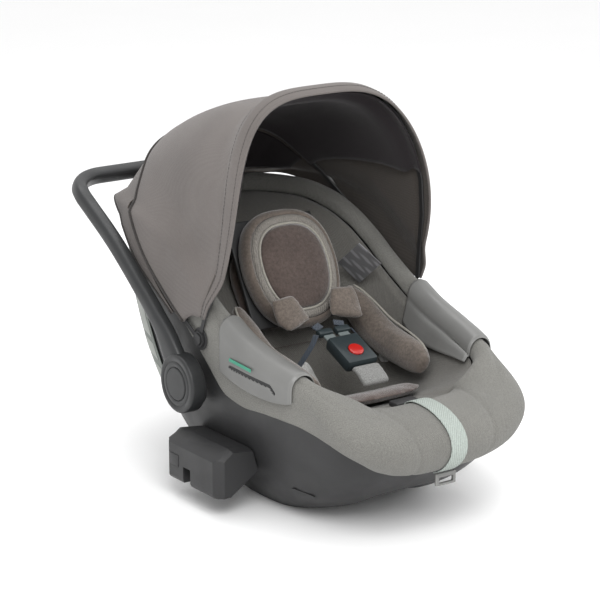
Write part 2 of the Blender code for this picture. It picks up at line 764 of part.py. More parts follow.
def rear_cloth_grid(rows, n):
    """Rows from the rear bow down to the lower edge, left to right."""
    psis = across(n, 80)
    a = math.radians(REAR_BOW)
    back = Vector((0, math.cos(a), math.sin(a)))
    grid = []
    for i in range(rows):
        u = i / (rows - 1)
        row = []
        for j in range(n):
            t = j / (n - 1)
            mid = math.sin(math.pi * t)
            bow_pt = canopy_point(REAR_BOW, psis[j])
            head = at(math.radians(lerp(160, 20, t)), .362, -.0175)
            side = bow_pt + back * lerp(.012, .030, smooth(mid * 2.2))
            low = side.lerp(head, smooth((mid - .35) / .5))
            p = (bow_pt + back * .0075).lerp(low, u)
            p = p + Vector((p.x * .3, .6, .7)).normalized() * (.002 * math.sin(math.pi * u) * mid)
            row.append(clear_of_rim(p, .0065 + .0030 + FABRIC))
        grid.append(row)
    return grid


def thicken(grid, depth):
    """The same grid, moved inward by depth along its own normals."""
    nu, nv = len(grid), len(grid[0])
    out = []
    for i in range(nu):
        row = []
        for j in range(nv):
            du = grid[min(i + 1, nu - 1)][j] - grid[max(i - 1, 0)][j]
            dv = grid[i][min(j + 1, nv - 1)] - grid[i][max(j - 1, 0)]
            n = du.cross(dv).normalized()
            if n.dot(grid[i][j] - Vector((0, .05, .25))) < 0:
                n = -n
            row.append(grid[i][j] - n * depth)
        out.append(row)
    return out


def canopy_rear_cloth():
    """Rear cloth, from the rear bow down to the rim at the head end."""
    grid = rear_cloth_grid(7, 21)
    v, f = slab(grid, thicken(grid, FABRIC))
    return make("canopy_rear_cloth", v, f, CANOPY, origin=(0, *CANOPY_PIVOT))


# ------------------------------------------------------- insert and head pad
def ellipse_grid(centre, half, power, shares, n=28):
    out = []
    for s in shares:
        ring = []
        for k in range(n):
            c, q = math.cos(2 * math.pi * k / n), math.sin(2 * math.pi * k / n)
            r = s / (abs(c) ** power + abs(q) ** power) ** (1 / power)
            ring.append((centre[0] + half[0] * r * c, centre[1] + half[1] * r * q))
        out.append(ring)
    return out


def surface_pad(name, spec, centre, half, thick, base, clear=.0018, power=3.0, lid=None):
    """Crowned pad lying on a surface given by its height."""
    shares = (.25, .5, .72, .9, 1)
    grid = ellipse_grid(centre, half, power, shares)
    rings = []
    for s, ring in zip(shares, grid):
        full = .35 + .65 * (1 - s ** 4)
        row = []
        for x, y in ring:
            z = base(x, y) + clear + thick * full
            row.append((x, y, min(z, lid(x, y)) if lid else z))
        rings.append(row)
    for s, ring in zip(shares[::-1], grid[::-1]):
        rings.append([(x, y, base(x, y) + clear) for x, y in ring])
    v, f = skin(rings)
    return make(name, v, f, spec)


SLOPE = (math.cos(math.radians(RECLINE)), math.sin(math.radians(RECLINE)))


def head_frame(along, behind, x=0.0):
    """Point on the head pad's plane: along its slope, and behind its face."""
    y = HEAD_PAD_CENTRE[0] + along * SLOPE[0] + behind * SLOPE[1]
    z = HEAD_PAD_CENTRE[1] + along * SLOPE[1] - behind * SLOPE[0]
    return Vector((x, y, z))


def board_z(y, behind):
    """Height of the plane that lies behind the head pad's face."""
    p = head_frame(0, behind)
    return p.z + (y - p.y) * SLOPE[1] / SLOPE[0]


def oval_pad(name, spec, half_x, half_up, front, back, power=2.6):
    """Crowned oval cushion on the head pad's plane."""
    n = 32
    rings = []
    for t, s in ((0, .35), (.02, .65), (.10, .86), (.28, .97), (.55, 1), (.82, .96), (1, .84),
                 (1, .4)):
        ring = []
        for k in range(n):
            c, q = math.cos(2 * math.pi * k / n), math.sin(2 * math.pi * k / n)
            r = s / (abs(c) ** power + abs(q) ** power) ** (1 / power)
            x = half_x * r * c * (1 - .10 * max(0, -q))
            ring.append(head_frame(half_up * r * q, lerp(front, back, t), x))
        rings.append(ring)
    v, f = skin(rings)
    return make(name, v, f, spec, origin=head_frame(0, back))


def headrest_plate():
    """Stiff plate behind the head pad that slides up and down the back."""
    return rounded_box("headrest_plate", BLACK, head_frame(.004, .0440), (.150, .006, .160),
                       r=.002, axes=((1, 0, 0), (0, SLOPE[1], -SLOPE[0]), (0, SLOPE[0], SLOPE[1])))


def headrest_rail(s):
    """Guide on the back that the plate slides along."""
    return rounded_box("headrest_rail_" + ("left" if s < 0 else "right"), BLACK,
                       head_frame(.010, .0530, s * .045), (.014, .010, .130), r=.001, seg=1,
                       axes=((1, 0, 0), (0, SLOPE[1], -SLOPE[0]), (0, SLOPE[0], SLOPE[1])))


def bolster(s):
    """Side cushion of the insert."""
    pts = [(.086, -.156, .176), (.093, -.130, .180), (.097, -.095, .184), (.099, -.055, .190),
           (.098, -.020, .204), (.094, .012, .224), (.088, .038, .244)]
    half = [.010, .017, .0195, .0205, .0205, .018, .010]
    path = [(s * (x + .004), y, z + .005) for x, y, z in pts]
    rings = sweep(path, lambda i: (s * .5, 0, .86), lambda i: half[i] * 1.42,
                  lambda i: half[i] * .85, power=2.3, n=14)
    v, f = skin(rings)
    return make("bolster_" + ("left" if s < 0 else "right"), v, f, VELVET)


# ------------------------------------------------------------------ harness
def strip(name, spec, path, half_w, half_t, side=(1, 0, 0), n=8, power=6, origin=(0, 0, 0)):
    v, f = skin(sweep(path, lambda i: side, half_w, half_t, power=power, n=n))
    return make(name, v, f, spec, origin=origin)


BUCKLE = Vector((0, -.108, .206))
BUCKLE_UP = Vector((0, -.42, .91)).normalized()
BUCKLE_ALONG = Vector((0, .91, .42)).normalized()
BUTTON_R, BUTTON_BACK = .0112, .0060


def buckle_axes():
    return ((1, 0, 0), BUCKLE_ALONG, BUCKLE_UP)


def buckle_disc(name, low, high, r, n=28):
    """Round slug in the buckle's face, between two heights above its middle."""
    x, y, up = (Vector(a) for a in buckle_axes())
    c = BUCKLE - y * BUTTON_BACK
    rings = []
    for h, q in ((low, r), (high - .0012, r), (high - .0003, r - .0008), (high, r - .0030)):
        rings.append([c + up * h + x * (q * math.cos(2 * math.pi * k / n))
                      + y * (q * math.sin(2 * math.pi * k / n)) for k in range(n)])
    v, f = skin(rings)
    return make(name, v, f, RED, origin=c + up * low, split=False)


def buckle():
    ob = rounded_box("buckle", SLATE, BUCKLE, (.052, .058, .020), r=.005, axes=buckle_axes())
    combine(ob, buckle_disc("pocket", -.0010, .0200, BUTTON_R + .0005), "DIFFERENCE")
    for s in (-1, 1):
        slot = rounded_box("cut", RED, BUCKLE + BUCKLE_ALONG * .026 + Vector((s * .0125, 0, 0)),
                           (.0190, .030, .0046), r=.0005, axes=buckle_axes(), seg=1)
        combine(ob, slot, "DIFFERENCE")
    return ob


def buckle_button():
    return buckle_disc("buckle_button", .0040, .0125, BUTTON_R)


def tongue(s):
    """Metal tongue of one shoulder strap, pushed into the buckle."""
    ax = ((1, 0, 0), BUCKLE_ALONG, BUCKLE_UP)
    c = BUCKLE + BUCKLE_ALONG * .0285 + Vector((s * .0125, 0, 0))
    return rounded_box("tongue_" + ("left" if s < 0 else "right"), STEEL, c,
                       (.0176, .0270, .0034), r=.001, axes=ax)


def tongue_grip(s):
    """Plastic grip on the tongue that the webbing passes through."""
    ax = ((1, 0, 0), BUCKLE_ALONG, BUCKLE_UP)
    c = BUCKLE + BUCKLE_ALONG * .0480 + Vector((s * .0150, 0, 0))
    return rounded_box("tongue_grip_" + ("left" if s < 0 else "right"), SLATE, c,
                       (.024, .0110, .009), r=.002, axes=ax)


def shoulder_pad(s):
    path = [(s * .052, -.0130, .2715), (s * .050, -.0215, .2570), (s * .046, -.0310, .2440),
            (s * .041, -.0425, .2365)]
    half = [.020, .025, .027, .0255]
    v, f = skin(sweep(path, lambda i: (1, 0, 0), lambda i: half[i], .0085, power=3, n=14))
    return make("shoulder_pad_" + ("left" if s < 0 else "right"), v, f, VELVET)


def shoulder_strap(s):
    """Webbing between the shoulder pad and the tongue's grip."""
    a = Vector((s * .0205, -.0480, .2345))
    b = BUCKLE + BUCKLE_ALONG * .0570 + Vector((s * .0165, 0, 0))
    return strip("shoulder_strap_" + ("left" if s < 0 else "right"), WEB,
                 [a, a.lerp(b, .5), b], .0080, .0010)


def lap_strap(s):
    """Webbing from the tongue's grip down to the side of the seat."""
    a = BUCKLE + BUCKLE_ALONG * .0470 + Vector((s * .0305, 0, 0))
    path = [a, (s * .041, -.0690, .2120), (s * .053, -.0660, .1940), (s * .062, -.0570, .1740)]
    return strip("lap_strap_" + ("left" if s < 0 else "right"), WEB, path, .0045, .0010,
                 side=(0, 1, .3))


def crotch_pad():
    path = [BUCKLE - BUCKLE_ALONG * .0305, (0, -.147, .1900), (0, -.158, .1825), (0, -.168, .1750)]
    return strip("crotch_pad", COVER, path, .0245, .0050, n=14, power=3)


def nose_profile(n_points=11):
    """Outside of the padded lip on the middle line, from below to above."""
    th = math.radians(270)
    prof = cover_profile(th)
    return [at(th, z, n) for n, z in prof[1:n_points]]


def pull_strap():
    """Flat strap over the middle of the lip that tightens the harness."""
    mid = nose_profile()
    mid.append(Vector((0, -.246, seat_z(0, -.246) + .0010)))
    path = []
    for i, p in enumerate(mid):
        a, b = mid[max(i - 1, 0)], mid[min(i + 1, len(mid) - 1)]
        t = (b - a).normalized()
        out = Vector((0, -t.z, t.y))
        if out.y > 0 and i < 4:
            out = -out
        if i >= 4 and out.z < 0:
            out = -out
        path.append(p + out * .0022)
    return strip("pull_strap", STRAP, path, .0135, .0009)


def strap_loop():
    """Finger loop on the strap's end, under the lip."""
    p = nose_profile()[0] + Vector((0, -.004, -.012))
    ob = rounded_box("strap_loop", GREY_PLASTIC, p, (.034, .0046, .018), r=.0015)
    cut = rounded_box("cut", BLACK, p + Vector((0, 0, -.001)), (.024, .02, .0085), r=.001, seg=1)
    return combine(ob, cut, "DIFFERENCE")


def adjuster():
    """Housing at the front of the seat that locks the pull strap."""
    z = seat_z(0, -.229)
    return rounded_box("adjuster_housing", BLACK, (0, -.229, z + .0052), (.040, .020, .008),
                       r=.002)


def woven_label():
    u = Vector((0, -.79, .61))
    n = Vector((-.80, -.30, -.40))
    n = (n - u * n.dot(u)).normalized()
    return rounded_box("woven_label", LABEL, (.110, .022, .290), (.066, .044, .0014), r=.0004,
                       seg=1, axes=(u, n.cross(u), n))


def build():
    for o in list(bpy.data.objects):
        bpy.data.objects.remove(o)
    shell()
    rim_cover()
    seat_lining()
    foam_liner()
    for s in (-1, 1):
        side_plate(s)
        corner_plug(s)
        connector(s)
        connector_latch(s)
        boss(s)
        belt_guide(s)
        belt_marker(s)
        handle_pin(s)
        handle_button(s)
        canopy_bracket(s)
        headrest_rail(s)
        bolster(s)
        tongue(s)
        tongue_grip(s)
        shoulder_pad(s)
        shoulder_strap(s)
        lap_strap(s)
    handle()
    bow("canopy_front_bow", FRONT_BOW, 0)
    bow("canopy_rear_bow", REAR_BOW, 1)
    canopy_cloth()
    canopy_rear_cloth()
    surface_pad("insert_seat", VELVET, (0, -.126), (.080, .075), .012, seat_z, .0085)
    surface_pad("insert_back", VELVET, (0, .070), (.072, .050), .055, seat_z, .0115,
                lid=lambda x, y: board_z(y, .0600))
    oval_pad("head_pad", VELVET, .078, .088, 0, .0405)
    headrest_plate()
    buckle()
    buckle_button()
    crotch_pad()
    pull_strap()
    strap_loop()
    adjuster()
    woven_label()


build()
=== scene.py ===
"""Looks of the infant car seat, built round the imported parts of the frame.

The bucket, rim, canopy and handle follow the same shape functions as the
part's own source, sampled more finely.  Metres, +Z up, feet towards -Y.
"""
import math
import bpy
import bmesh
from mathutils import Matrix, Vector, noise
from mathutils.kdtree import KDTree


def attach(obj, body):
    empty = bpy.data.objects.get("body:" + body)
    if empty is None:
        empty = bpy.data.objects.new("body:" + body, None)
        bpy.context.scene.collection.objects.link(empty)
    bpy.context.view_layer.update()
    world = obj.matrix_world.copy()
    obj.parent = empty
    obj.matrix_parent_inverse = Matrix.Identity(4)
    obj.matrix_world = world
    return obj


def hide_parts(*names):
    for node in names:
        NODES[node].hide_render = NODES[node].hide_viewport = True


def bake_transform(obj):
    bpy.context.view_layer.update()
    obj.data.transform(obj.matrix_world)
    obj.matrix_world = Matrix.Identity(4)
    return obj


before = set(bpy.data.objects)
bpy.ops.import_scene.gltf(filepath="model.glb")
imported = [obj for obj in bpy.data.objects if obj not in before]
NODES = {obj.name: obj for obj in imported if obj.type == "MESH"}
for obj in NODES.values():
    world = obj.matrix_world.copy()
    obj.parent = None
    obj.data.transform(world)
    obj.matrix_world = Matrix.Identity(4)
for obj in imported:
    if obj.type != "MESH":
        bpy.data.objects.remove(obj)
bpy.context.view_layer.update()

# ---------------------------------------------------------------- dimensions
GAP = 0.0004                 # clearance between touching pieces
WALL = 0.0040                # shell wall

# bucket surface by height: (z, value)
HALF_WIDTH = [(0, .112), (.02, .128), (.05, .145), (.10, .161), (.15, .172),
              (.20, .177), (.26, .1795), (.32, .1785), (.42, .172)]
FRONT_Y = [(0, -.140), (.015, -.186), (.038, -.232), (.059, -.262),
           (.075, -.280), (.097, -.298), (.13, -.312), (.16, -.316), (.42, -.316)]
BACK_Y = [(0, .045), (.02, .105), (.044, .150), (.081, .188), (.146, .236),
          (.218, .272), (.293, .300), (.375, .322), (.42, .330)]
CENTRE_Y = [(0, -.045), (.10, -.030), (.20, .000), (.42, .030)]
SQUARE_FRONT, SQUARE_BACK = 3.6, 3.2   # superellipse exponents of the plan
ARCH = 0.012                 # height of the channel between the two runners
ARCH_HALF = 0.062            # its half width

# rim crest and lower edge of the cover, by the rim's y
CREST_Z = [(-.316, .176), (-.29, .186), (-.25, .205), (-.20, .224), (-.15, .236),
           (-.092, .252), (-.04, .276), (.003, .302), (.04, .329), (.077, .351),
           (.12, .367), (.177, .376), (.32, .378)]
EDGE_Z = [(-.316, .090), (-.279, .128), (-.237, .147), (-.194, .156),
          (-.138, .157), (-.089, .154), (-.045, .160), (-.01, .198), (.03, .240),
          (.08, .285), (.13, .315), (.20, .334), (.32, .340)]
SHELL_DROP = 0.026           # shell's top edge below the crest
# middle line of the inside of the seat, by y
FLOOR_Z = [(-.30, .160), (-.25, .158), (-.20, .150), (-.15, .136), (-.10, .118),
           (-.06, .108), (-.03, .118), (.0, .148), (.05, .205), (.10, .258),
           (.15, .303), (.20, .337), (.25, .355), (.30, .362)]
LINING = 0.004
SEAT_CENTRE = (0.0, -0.02)

HANDLE_PIVOT = (0.014, 0.167)        # y, z
HANDLE_LEAN = 54.7                   # degrees back from upright at rest
HANDLE_REACH = 0.3957
HANDLE_CORNER = 0.064
ARM_OUTER = 0.2125
ARM_INNER = [(0, .1915), (.15, .1915), (.21, .1910), (.40, .1910)]   # by reach
HUB_R = 0.042
HUB_IN, HUB_OUT = 0.1905, 0.2135
CAP_R = 0.0235
# arm's middle line above the pivot line, and its half width, by reach
ARM_RISE = [(0, 0), (.04, .016), (.08, .027), (.13, .031), (.22, .033),
            (.29, .029), (.345, .022), (.38, .007), (.3957, 0)]
ARM_HALF = [(0, .024), (.05, .019), (.10, .0125), (.2, .0115), (.3957, .0115)]

CANOPY_PIVOT = (-0.004, 0.232)       # y, z
CANOPY_WIDE, CANOPY_SLIM = 0.1904, 0.1765   # half width beside the rim and above it
CANOPY_SQ = 3.3
FRONT_EDGE = 6.5                     # degrees forward of upright
REAR_EDGE = -46.5                    # degrees back of upright
REAR_BOW = -45.4
CANOPY_R = [(-46.5, .345), (-43, .3425), (-36, .334), (-26, .325), (-16, .3200),
            (-8, .3170), (-4, .3165), (-1, .321), (1, .333), (2.5, .3395),
            (4.2, .3390), (6.5, .334)]
CANOPY_BOW = [(-46.5, -.030), (-25, -.004), (-5, .022), (2, .036), (6.5, .0425)]
FABRIC = 0.0022
HEM_SHARE = [(-46.5, .78), (-35, .73), (-18, .66), (6.5, .62)]   # dark panel's hem, by angle

RECLINE = 62.0                       # head pad's slope in degrees
HEAD_PAD_CENTRE = (0.020, 0.305)     # middle of its front face: y, z
SLOPE = (math.cos(math.radians(RECLINE)), math.sin(math.radians(RECLINE)))
BUCKLE = Vector((0, -.108, .206))
BUCKLE_ALONG = Vector((0, .91, .42)).normalized()

# camera: turned and raised as the photograph's, far off with a long lens
VIEW_TURN, VIEW_RISE = 35.4, 15.7
VIEW_TARGET = Vector((0, -.13, 0))
VIEW_RIGHT, VIEW_UP, VIEW_BACK = -.0848, .2761, 3.335
VIEW_LENS = 141.66


# ------------------------------------------------------------ shape functions
def curve(x, knots):
    """Smooth monotone value at x through (x, value) knots."""
    if x <= knots[0][0]:
        return knots[0][1]
    if x >= knots[-1][0]:
        return knots[-1][1]
    i = 0
    while x > knots[i + 1][0]:
        i += 1

    def chord(j):
        return (knots[j + 1][1] - knots[j][1]) / (knots[j + 1][0] - knots[j][0])

    def slope(j):
        if j == 0:
            return chord(0)
        if j == len(knots) - 1:
            return chord(j - 1)
        a, b = chord(j - 1), chord(j)
        return 0.0 if a * b <= 0 else 2 * a * b / (a + b)
    h = knots[i + 1][0] - knots[i][0]
    t = (x - knots[i][0]) / h
    return ((2 * t ** 3 - 3 * t ** 2 + 1) * knots[i][1] + (t ** 3 - 2 * t ** 2 + t) * h * slope(i)
            + (3 * t ** 2 - 2 * t ** 3) * knots[i + 1][1] + (t ** 3 - t ** 2) * h * slope(i + 1))


def lerp(a, b, t):
    return a + (b - a) * t


def smooth(t):
    t = min(1.0, max(0.0, t))
    return t * t * (3 - 2 * t)


def skin(rings, wrap=True, close=False, caps=True):
    """Faces through equal rings; close joins the last ring to the first."""
    n = len(rings[0])
    verts = [p for r in rings for p in r]
    faces = []
    pairs = len(rings) if close else len(rings) - 1
    for i in range(pairs):
        a, b = i * n, ((i + 1) % len(rings)) * n
        for j in range(n if wrap else n - 1):
            k = (j + 1) % n
            faces.append((a + j, a + k, b + k, b + j))
    if caps and not close:
        for r, flip in ((0, True), (len(rings) - 1, False)):
            c = len(verts)
            mid = sum((Vector(p) for p in rings[r]), Vector()) / n
            verts.append(mid)
            for j in range(n):
                k = (j + 1) % n
                f = (c, r * n + j, r * n + k)
                faces.append(f[::-1] if flip else f)
    return verts, faces


def slab(top, bottom):
    """Closed slab between two equal grids of points."""
    nu, nv = len(top), len(top[0])
    verts = [p for r in top for p in r] + [p for r in bottom for p in r]
    off = nu * nv
    faces = []
    for i in range(nu - 1):
        for j in range(nv - 1):
            a, b, c, d = i * nv + j, (i + 1) * nv + j, (i + 1) * nv + j + 1, i * nv + j + 1
            faces.append((a, b, c, d))
            faces.append((off + d, off + c, off + b, off + a))
    edge = [(i, 0) for i in range(nu)] + [(nu - 1, j) for j in range(1, nv)]
    edge += [(i, nv - 1) for i in range(nu - 2, -1, -1)] + [(0, j) for j in range(nv - 2, 0, -1)]
    for e in range(len(edge)):
        (i, j), (k, m) = edge[e], edge[(e + 1) % len(edge)]
        a, b = i * nv + j, k * nv + m
        faces.append((b, a, off + a, off + b))
    return verts, faces


def sweep(path, side, half_a, half_b, power=4, n=16):
    """Rings of a rounded section along a path.  side(i) gives the first axis."""
    rings = []
    for i, p in enumerate(path):
        p = Vector(p)
        a, b = Vector(path[max(i - 1, 0)]), Vector(path[min(i + 1, len(path) - 1)])
        t = (b - a).normalized()
        u = Vector(side(i))
        u = (u - t * u.dot(t)).normalized()
        v = t.cross(u)
        ha = half_a(i) if callable(half_a) else half_a
        hb = half_b(i) if callable(half_b) else half_b
        ring = []
        for k in range(n):
            c, s = math.cos(2 * math.pi * k / n), math.sin(2 * math.pi * k / n)
            r = 1 / (abs(c) ** power + abs(s) ** power) ** (1 / power)
            ring.append(p + u * (ha * r * c) + v * (hb * r * s))
        rings.append(ring)
    return rings


def plan(th, z):
    """Point of the bucket's outside at angle th and height z."""
    c, s = math.cos(th), math.sin(th)
    e = SQUARE_BACK if s > 0 else SQUARE_FRONT
    r = 1 / (abs(c) ** e + abs(s) ** e) ** (1 / e)
    yc = curve(z, CENTRE_Y)
    reach = curve(z, BACK_Y) - yc if s > 0 else yc - curve(z, FRONT_Y)
    return curve(z, HALF_WIDTH) * r * c, yc + reach * r * s


def at(th, z, n=0.0):
    """The same, moved n metres inward."""
    x, y = plan(th, z)
    if n:
        a, b = plan(th - .01, z), plan(th + .01, z)
        dx, dy = b[0] - a[0], b[1] - a[1]
        k = math.hypot(dx, dy)
        x, y = x - dy / k * n, y + dx / k * n
    return Vector((x, y, z))


def arched(p):
    """Raises the middle of the underside, leaving a runner at each side."""
    w = max(0.0, 1 - p.z / .05) * (1 - smooth((abs(p.x) - .6 * ARCH_HALF) / (.4 * ARCH_HALF)))
    return Vector((p.x, p.y, p.z + ARCH * w))


def crest(th):
    return curve(plan(th, .20)[1], CREST_Z)


def edge_z(th):
    return curve(plan(th, .20)[1], EDGE_Z)


def nose(th):
    """1 on the padded lip at the feet, 0 on the sides and back."""
    return smooth((-.215 - plan(th, .20)[1]) / .085)


def lining_edge(th):
    w = nose(th)
    p = at(th, crest(th) - lerp(.020, .012, w), lerp(.031, .070, w) + 2 * GAP)
    return Vector((p.x, p.y, p.z - .003))


def edge_table():
    table = []
    for k in range(180):
        p = lining_edge(2 * math.pi * k / 180)
        dx, dy = p.x - SEAT_CENTRE[0], p.y - SEAT_CENTRE[1]
        table.append((math.atan2(dy, dx), math.hypot(dx, dy), p.z))
    table.sort()
    a, b = table[0], table[-1]
    return [(b[0] - 2 * math.pi, b[1], b[2])] + table + [(a[0] + 2 * math.pi, a[1], a[2])]


def seat_z(x, y):
    """Height of the lined inside of the seat."""
    dx, dy = x - SEAT_CENTRE[0], y - SEAT_CENTRE[1]
    a, r = math.atan2(dy, dx), math.hypot(dx, dy)
    i = 0
    while EDGE_TABLE[i + 1][0] < a:
        i += 1
    p, q = EDGE_TABLE[i], EDGE_TABLE[i + 1]
    t = (a - p[0]) / (q[0] - p[0])
    s = min(1.0, r / lerp(p[1], q[1], t))
    return lerp(curve(y, FLOOR_Z), lerp(p[2], q[2], t), s ** 4.5)


def side_x(y, z):
    """Half width of the bucket's outside at (y, z)."""
    yc = curve(z, CENTRE_Y)
    reach = curve(z, BACK_Y) - yc if y > yc else yc - curve(z, FRONT_Y)
    e = SQUARE_BACK if y > yc else SQUARE_FRONT
    k = min(.999, abs(y - yc) / reach)
    return curve(z, HALF_WIDTH) * (1 - k ** e) ** (1 / e)


def handle_axes():
    a = math.radians(HANDLE_LEAN)
    return (Vector((0, math.sin(a), math.cos(a))), Vector((0, -math.cos(a), math.sin(a))))


def arm_middle(reach):
    return (ARM_OUTER + curve(reach, ARM_INNER)) / 2


def arm_thick(reach):
    return (ARM_OUTER - curve(reach, ARM_INNER)) / 2


def canopy_half(y, z):
    """Half width of the cloth: outside the rim, then leaning in above it."""
    t = smooth((z - curve(y, CREST_Z) + .004) / .060)
    return lerp(CANOPY_WIDE, CANOPY_SLIM, t)


def beside_rim(y, z):
    """Least half width of the cloth's outside where the rim and a bow lie under it."""
    return side_x(y, z) + .0025 + .004 * smooth((y - .06) / .1) + .0072


def canopy_point(alpha, psi, off=0.0):
    """Cloth's outer surface at alpha degrees forward of upright."""
    a = math.radians(alpha)
    c, s = math.cos(psi), math.sin(psi)
    k = 1 / (abs(c) ** CANOPY_SQ + abs(s) ** CANOPY_SQ) ** (1 / CANOPY_SQ)
    full = curve(alpha, CANOPY_R) + off
    r = full * k * c
    f = curve(alpha, CANOPY_BOW) * math.sin(math.pi * k * c)
    y = CANOPY_PIVOT[0] - r * math.sin(a) - f * math.cos(a)
    z = CANOPY_PIVOT[1] + r * math.cos(a) - f * math.sin(a)
    x = (canopy_half(y, z) + off) * k * abs(s)
    low = 1 - smooth((z - curve(y, CREST_Z) + .002) / .016)
    x = max(x, lerp(x, beside_rim(y, z) + off, low))
    return Vector((math.copysign(x, s), y, z))


def across(n, end=84.0):
    return [math.radians(-end + 2 * end * k / (n - 1)) for k in range(n)]


def clear_of_rim(p, room):
    """Moves a point out to at least room metres from the bucket, below the crest."""
    yc = curve(p.z, CENTRE_Y)
    back = p.y > yc
    e = SQUARE_BACK if back else SQUARE_FRONT
    a = curve(p.z, HALF_WIDTH) + room
    b = (curve(p.z, BACK_Y) - yc if back else yc - curve(p.z, FRONT_Y)) + room
    f = ((abs(p.x) / a) ** e + (abs(p.y - yc) / b) ** e) ** (1 / e)
    start = curve(p.y, CREST_Z) + lerp(.003, -.006, smooth((p.y - .24) / .06))
    low = 1 - smooth((p.z - start) / .012)
    if f >= 1 or low == 0:
        return p
    q = Vector((p.x / f, yc + (p.y - yc) / f, p.z))
    return p.lerp(q, low)


def rear_cloth_grid(rows, n):
    """Rows from the rear bow down to the lower edge, left to right."""
    psis = across(n, 80)
    a = math.radians(REAR_BOW)
    back = Vector((0, math.cos(a), math.sin(a)))
    grid = []
    for i in range(rows):
        u = i / (rows - 1)
        row = []
        for j in range(n):
            t = j / (n - 1)
            mid = math.sin(math.pi * t)
            bow_pt = canopy_point(REAR_BOW, psis[j])
            head = at(math.radians(lerp(160, 20, t)), .362, -.0175)
            side = bow_pt + back * lerp(.012, .030, smooth(mid * 2.2))
            low = side.lerp(head, smooth((mid - .35) / .5))
            p = (bow_pt + back * .0075).lerp(low, u)
            p = p + Vector((p.x * .3, .6, .7)).normalized() * (.002 * math.sin(math.pi * u) * mid)
            row.append(clear_of_rim(p, .0065 + .0030 + FABRIC))
        grid.append(row)
    return grid


def thicken(grid, depth):
    """The same grid, moved inward by depth along its own normals."""
    nu, nv = len(grid), len(grid[0])
    out = []
    for i in range(nu):
        row = []
        for j in range(nv):
            du = grid[min(i + 1, nu - 1)][j] - grid[max(i - 1, 0)][j]
            dv = grid[i][min(j + 1, nv - 1)] - grid[i][max(j - 1, 0)]
            n = du.cross(dv).normalized()
            if n.dot(grid[i][j] - Vector((0, .05, .25))) < 0:
                n = -n
            row.append(grid[i][j] - n * depth)
        out.append(row)
    return out


def head_frame(along, behind, x=0.0):
    """Point on the head pad's plane: along its slope, and behind its face."""
    y = HEAD_PAD_CENTRE[0] + along * SLOPE[0] + behind * SLOPE[1]
    z = HEAD_PAD_CENTRE[1] + along * SLOPE[1] - behind * SLOPE[0]
    return Vector((x, y, z))


EDGE_TABLE = edge_table()


# --------------------------------------------------------------- node helpers
WAVE_PERIOD = .31416         # width of one band of a Wave texture at scale 1


class Look:
    """A Principled material with a few shorthand ways to add nodes."""

    def __init__(self, name, rough, metal=0.0, sheen=0.0, coat=0.0, specular=.4):
        self.m = bpy.data.materials.new(name)
        self.m.use_nodes = True
        self.tree = self.m.node_tree
        self.bsdf = self.tree.nodes["Principled BSDF"]
        self.bsdf.inputs["Roughness"].default_value = rough
        self.bsdf.inputs["Metallic"].default_value = metal
        self.bsdf.inputs["Sheen Weight"].default_value = sheen
        self.bsdf.inputs["Sheen Roughness"].default_value = .45
        self.bsdf.inputs["Coat Weight"].default_value = coat
        self.bsdf.inputs["Specular IOR Level"].default_value = specular
        self.coord = self.add("ShaderNodeTexCoord").outputs["Object"]

    def add(self, kind, **values):
        node = self.tree.nodes.new(kind)
        for key, value in values.items():
            setattr(node, key, value)
        return node

    def link(self, a, b):
        self.tree.links.new(a, b)

    def noise(self, scale, detail=2.0, rough=.5):
        n = self.add("ShaderNodeTexNoise")
        n.inputs["Scale"].default_value = scale
        n.inputs["Detail"].default_value = detail
        n.inputs["Roughness"].default_value = rough
        self.link(self.coord, n.inputs["Vector"])
        return n.outputs["Fac"]

    def waves(self, period, turn):
        """Straight bands of the given period across the direction turn."""
        spin = self.add("ShaderNodeMapping")
        spin.inputs["Rotation"].default_value = turn
        self.link(self.coord, spin.inputs["Vector"])
        w = self.add("ShaderNodeTexWave")
        w.inputs["Scale"].default_value = WAVE_PERIOD / period
        w.inputs["Distortion"].default_value = .6
        w.inputs["Detail Scale"].default_value = 8
        self.link(spin.outputs["Vector"], w.inputs["Vector"])
        return w.outputs["Fac"]

    def remap(self, value, low, high, to_low=0.0, to_high=1.0):
        """Value from low..high, turned into to_low..to_high."""
        r = self.add("ShaderNodeMapRange")
        for key, number in zip(("From Min", "From Max", "To Min", "To Max"), (low, high, to_low, to_high)):
            r.inputs[key].default_value = number
        self.link(value, r.inputs["Value"])
        return r.outputs["Result"]

    def ramp(self, value, low, high, dark, light):
        """Colour from dark to light as the value goes from low to high."""
        mix = self.add("ShaderNodeMix", data_type="RGBA")
        mix.inputs["A"].default_value = (*dark, 1)
        mix.inputs["B"].default_value = (*light, 1)
        self.link(self.remap(value, low, high), mix.inputs["Factor"])
        return mix.outputs["Result"]

    def scaled(self, value, low, high):
        """Most of a noise's spread, turned into low..high."""
        return self.remap(value, .3, .7, low, high)

    def joined(self, a, b, kind="MULTIPLY"):
        """Two values joined by a Math node."""
        n = self.add("ShaderNodeMath", operation=kind)
        self.link(a, n.inputs[0])
        self.link(b, n.inputs[1])
        return n.outputs["Value"]

    def shade(self, colour, factor):
        """Colour multiplied by a grey factor."""
        mix = self.add("ShaderNodeMix", data_type="RGBA", blend_type="MULTIPLY")
        mix.inputs["Factor"].default_value = 1
        self.link(colour, mix.inputs["A"])
        self.link(factor, mix.inputs["B"])
        return mix.outputs["Result"]

    def base(self, colour):
        self.link(colour, self.bsdf.inputs["Base Color"])

    def bump(self, height, depth, strength=1.0):
        b = self.add("ShaderNodeBump")
        b.inputs["Distance"].default_value = depth
        b.inputs["Strength"].default_value = strength
        self.link(height, b.inputs["Height"])
        self.link(b.outputs["Normal"], self.bsdf.inputs["Normal"])


TONE = 0.66                  # keeps lit surfaces at their seen colour under the pale world


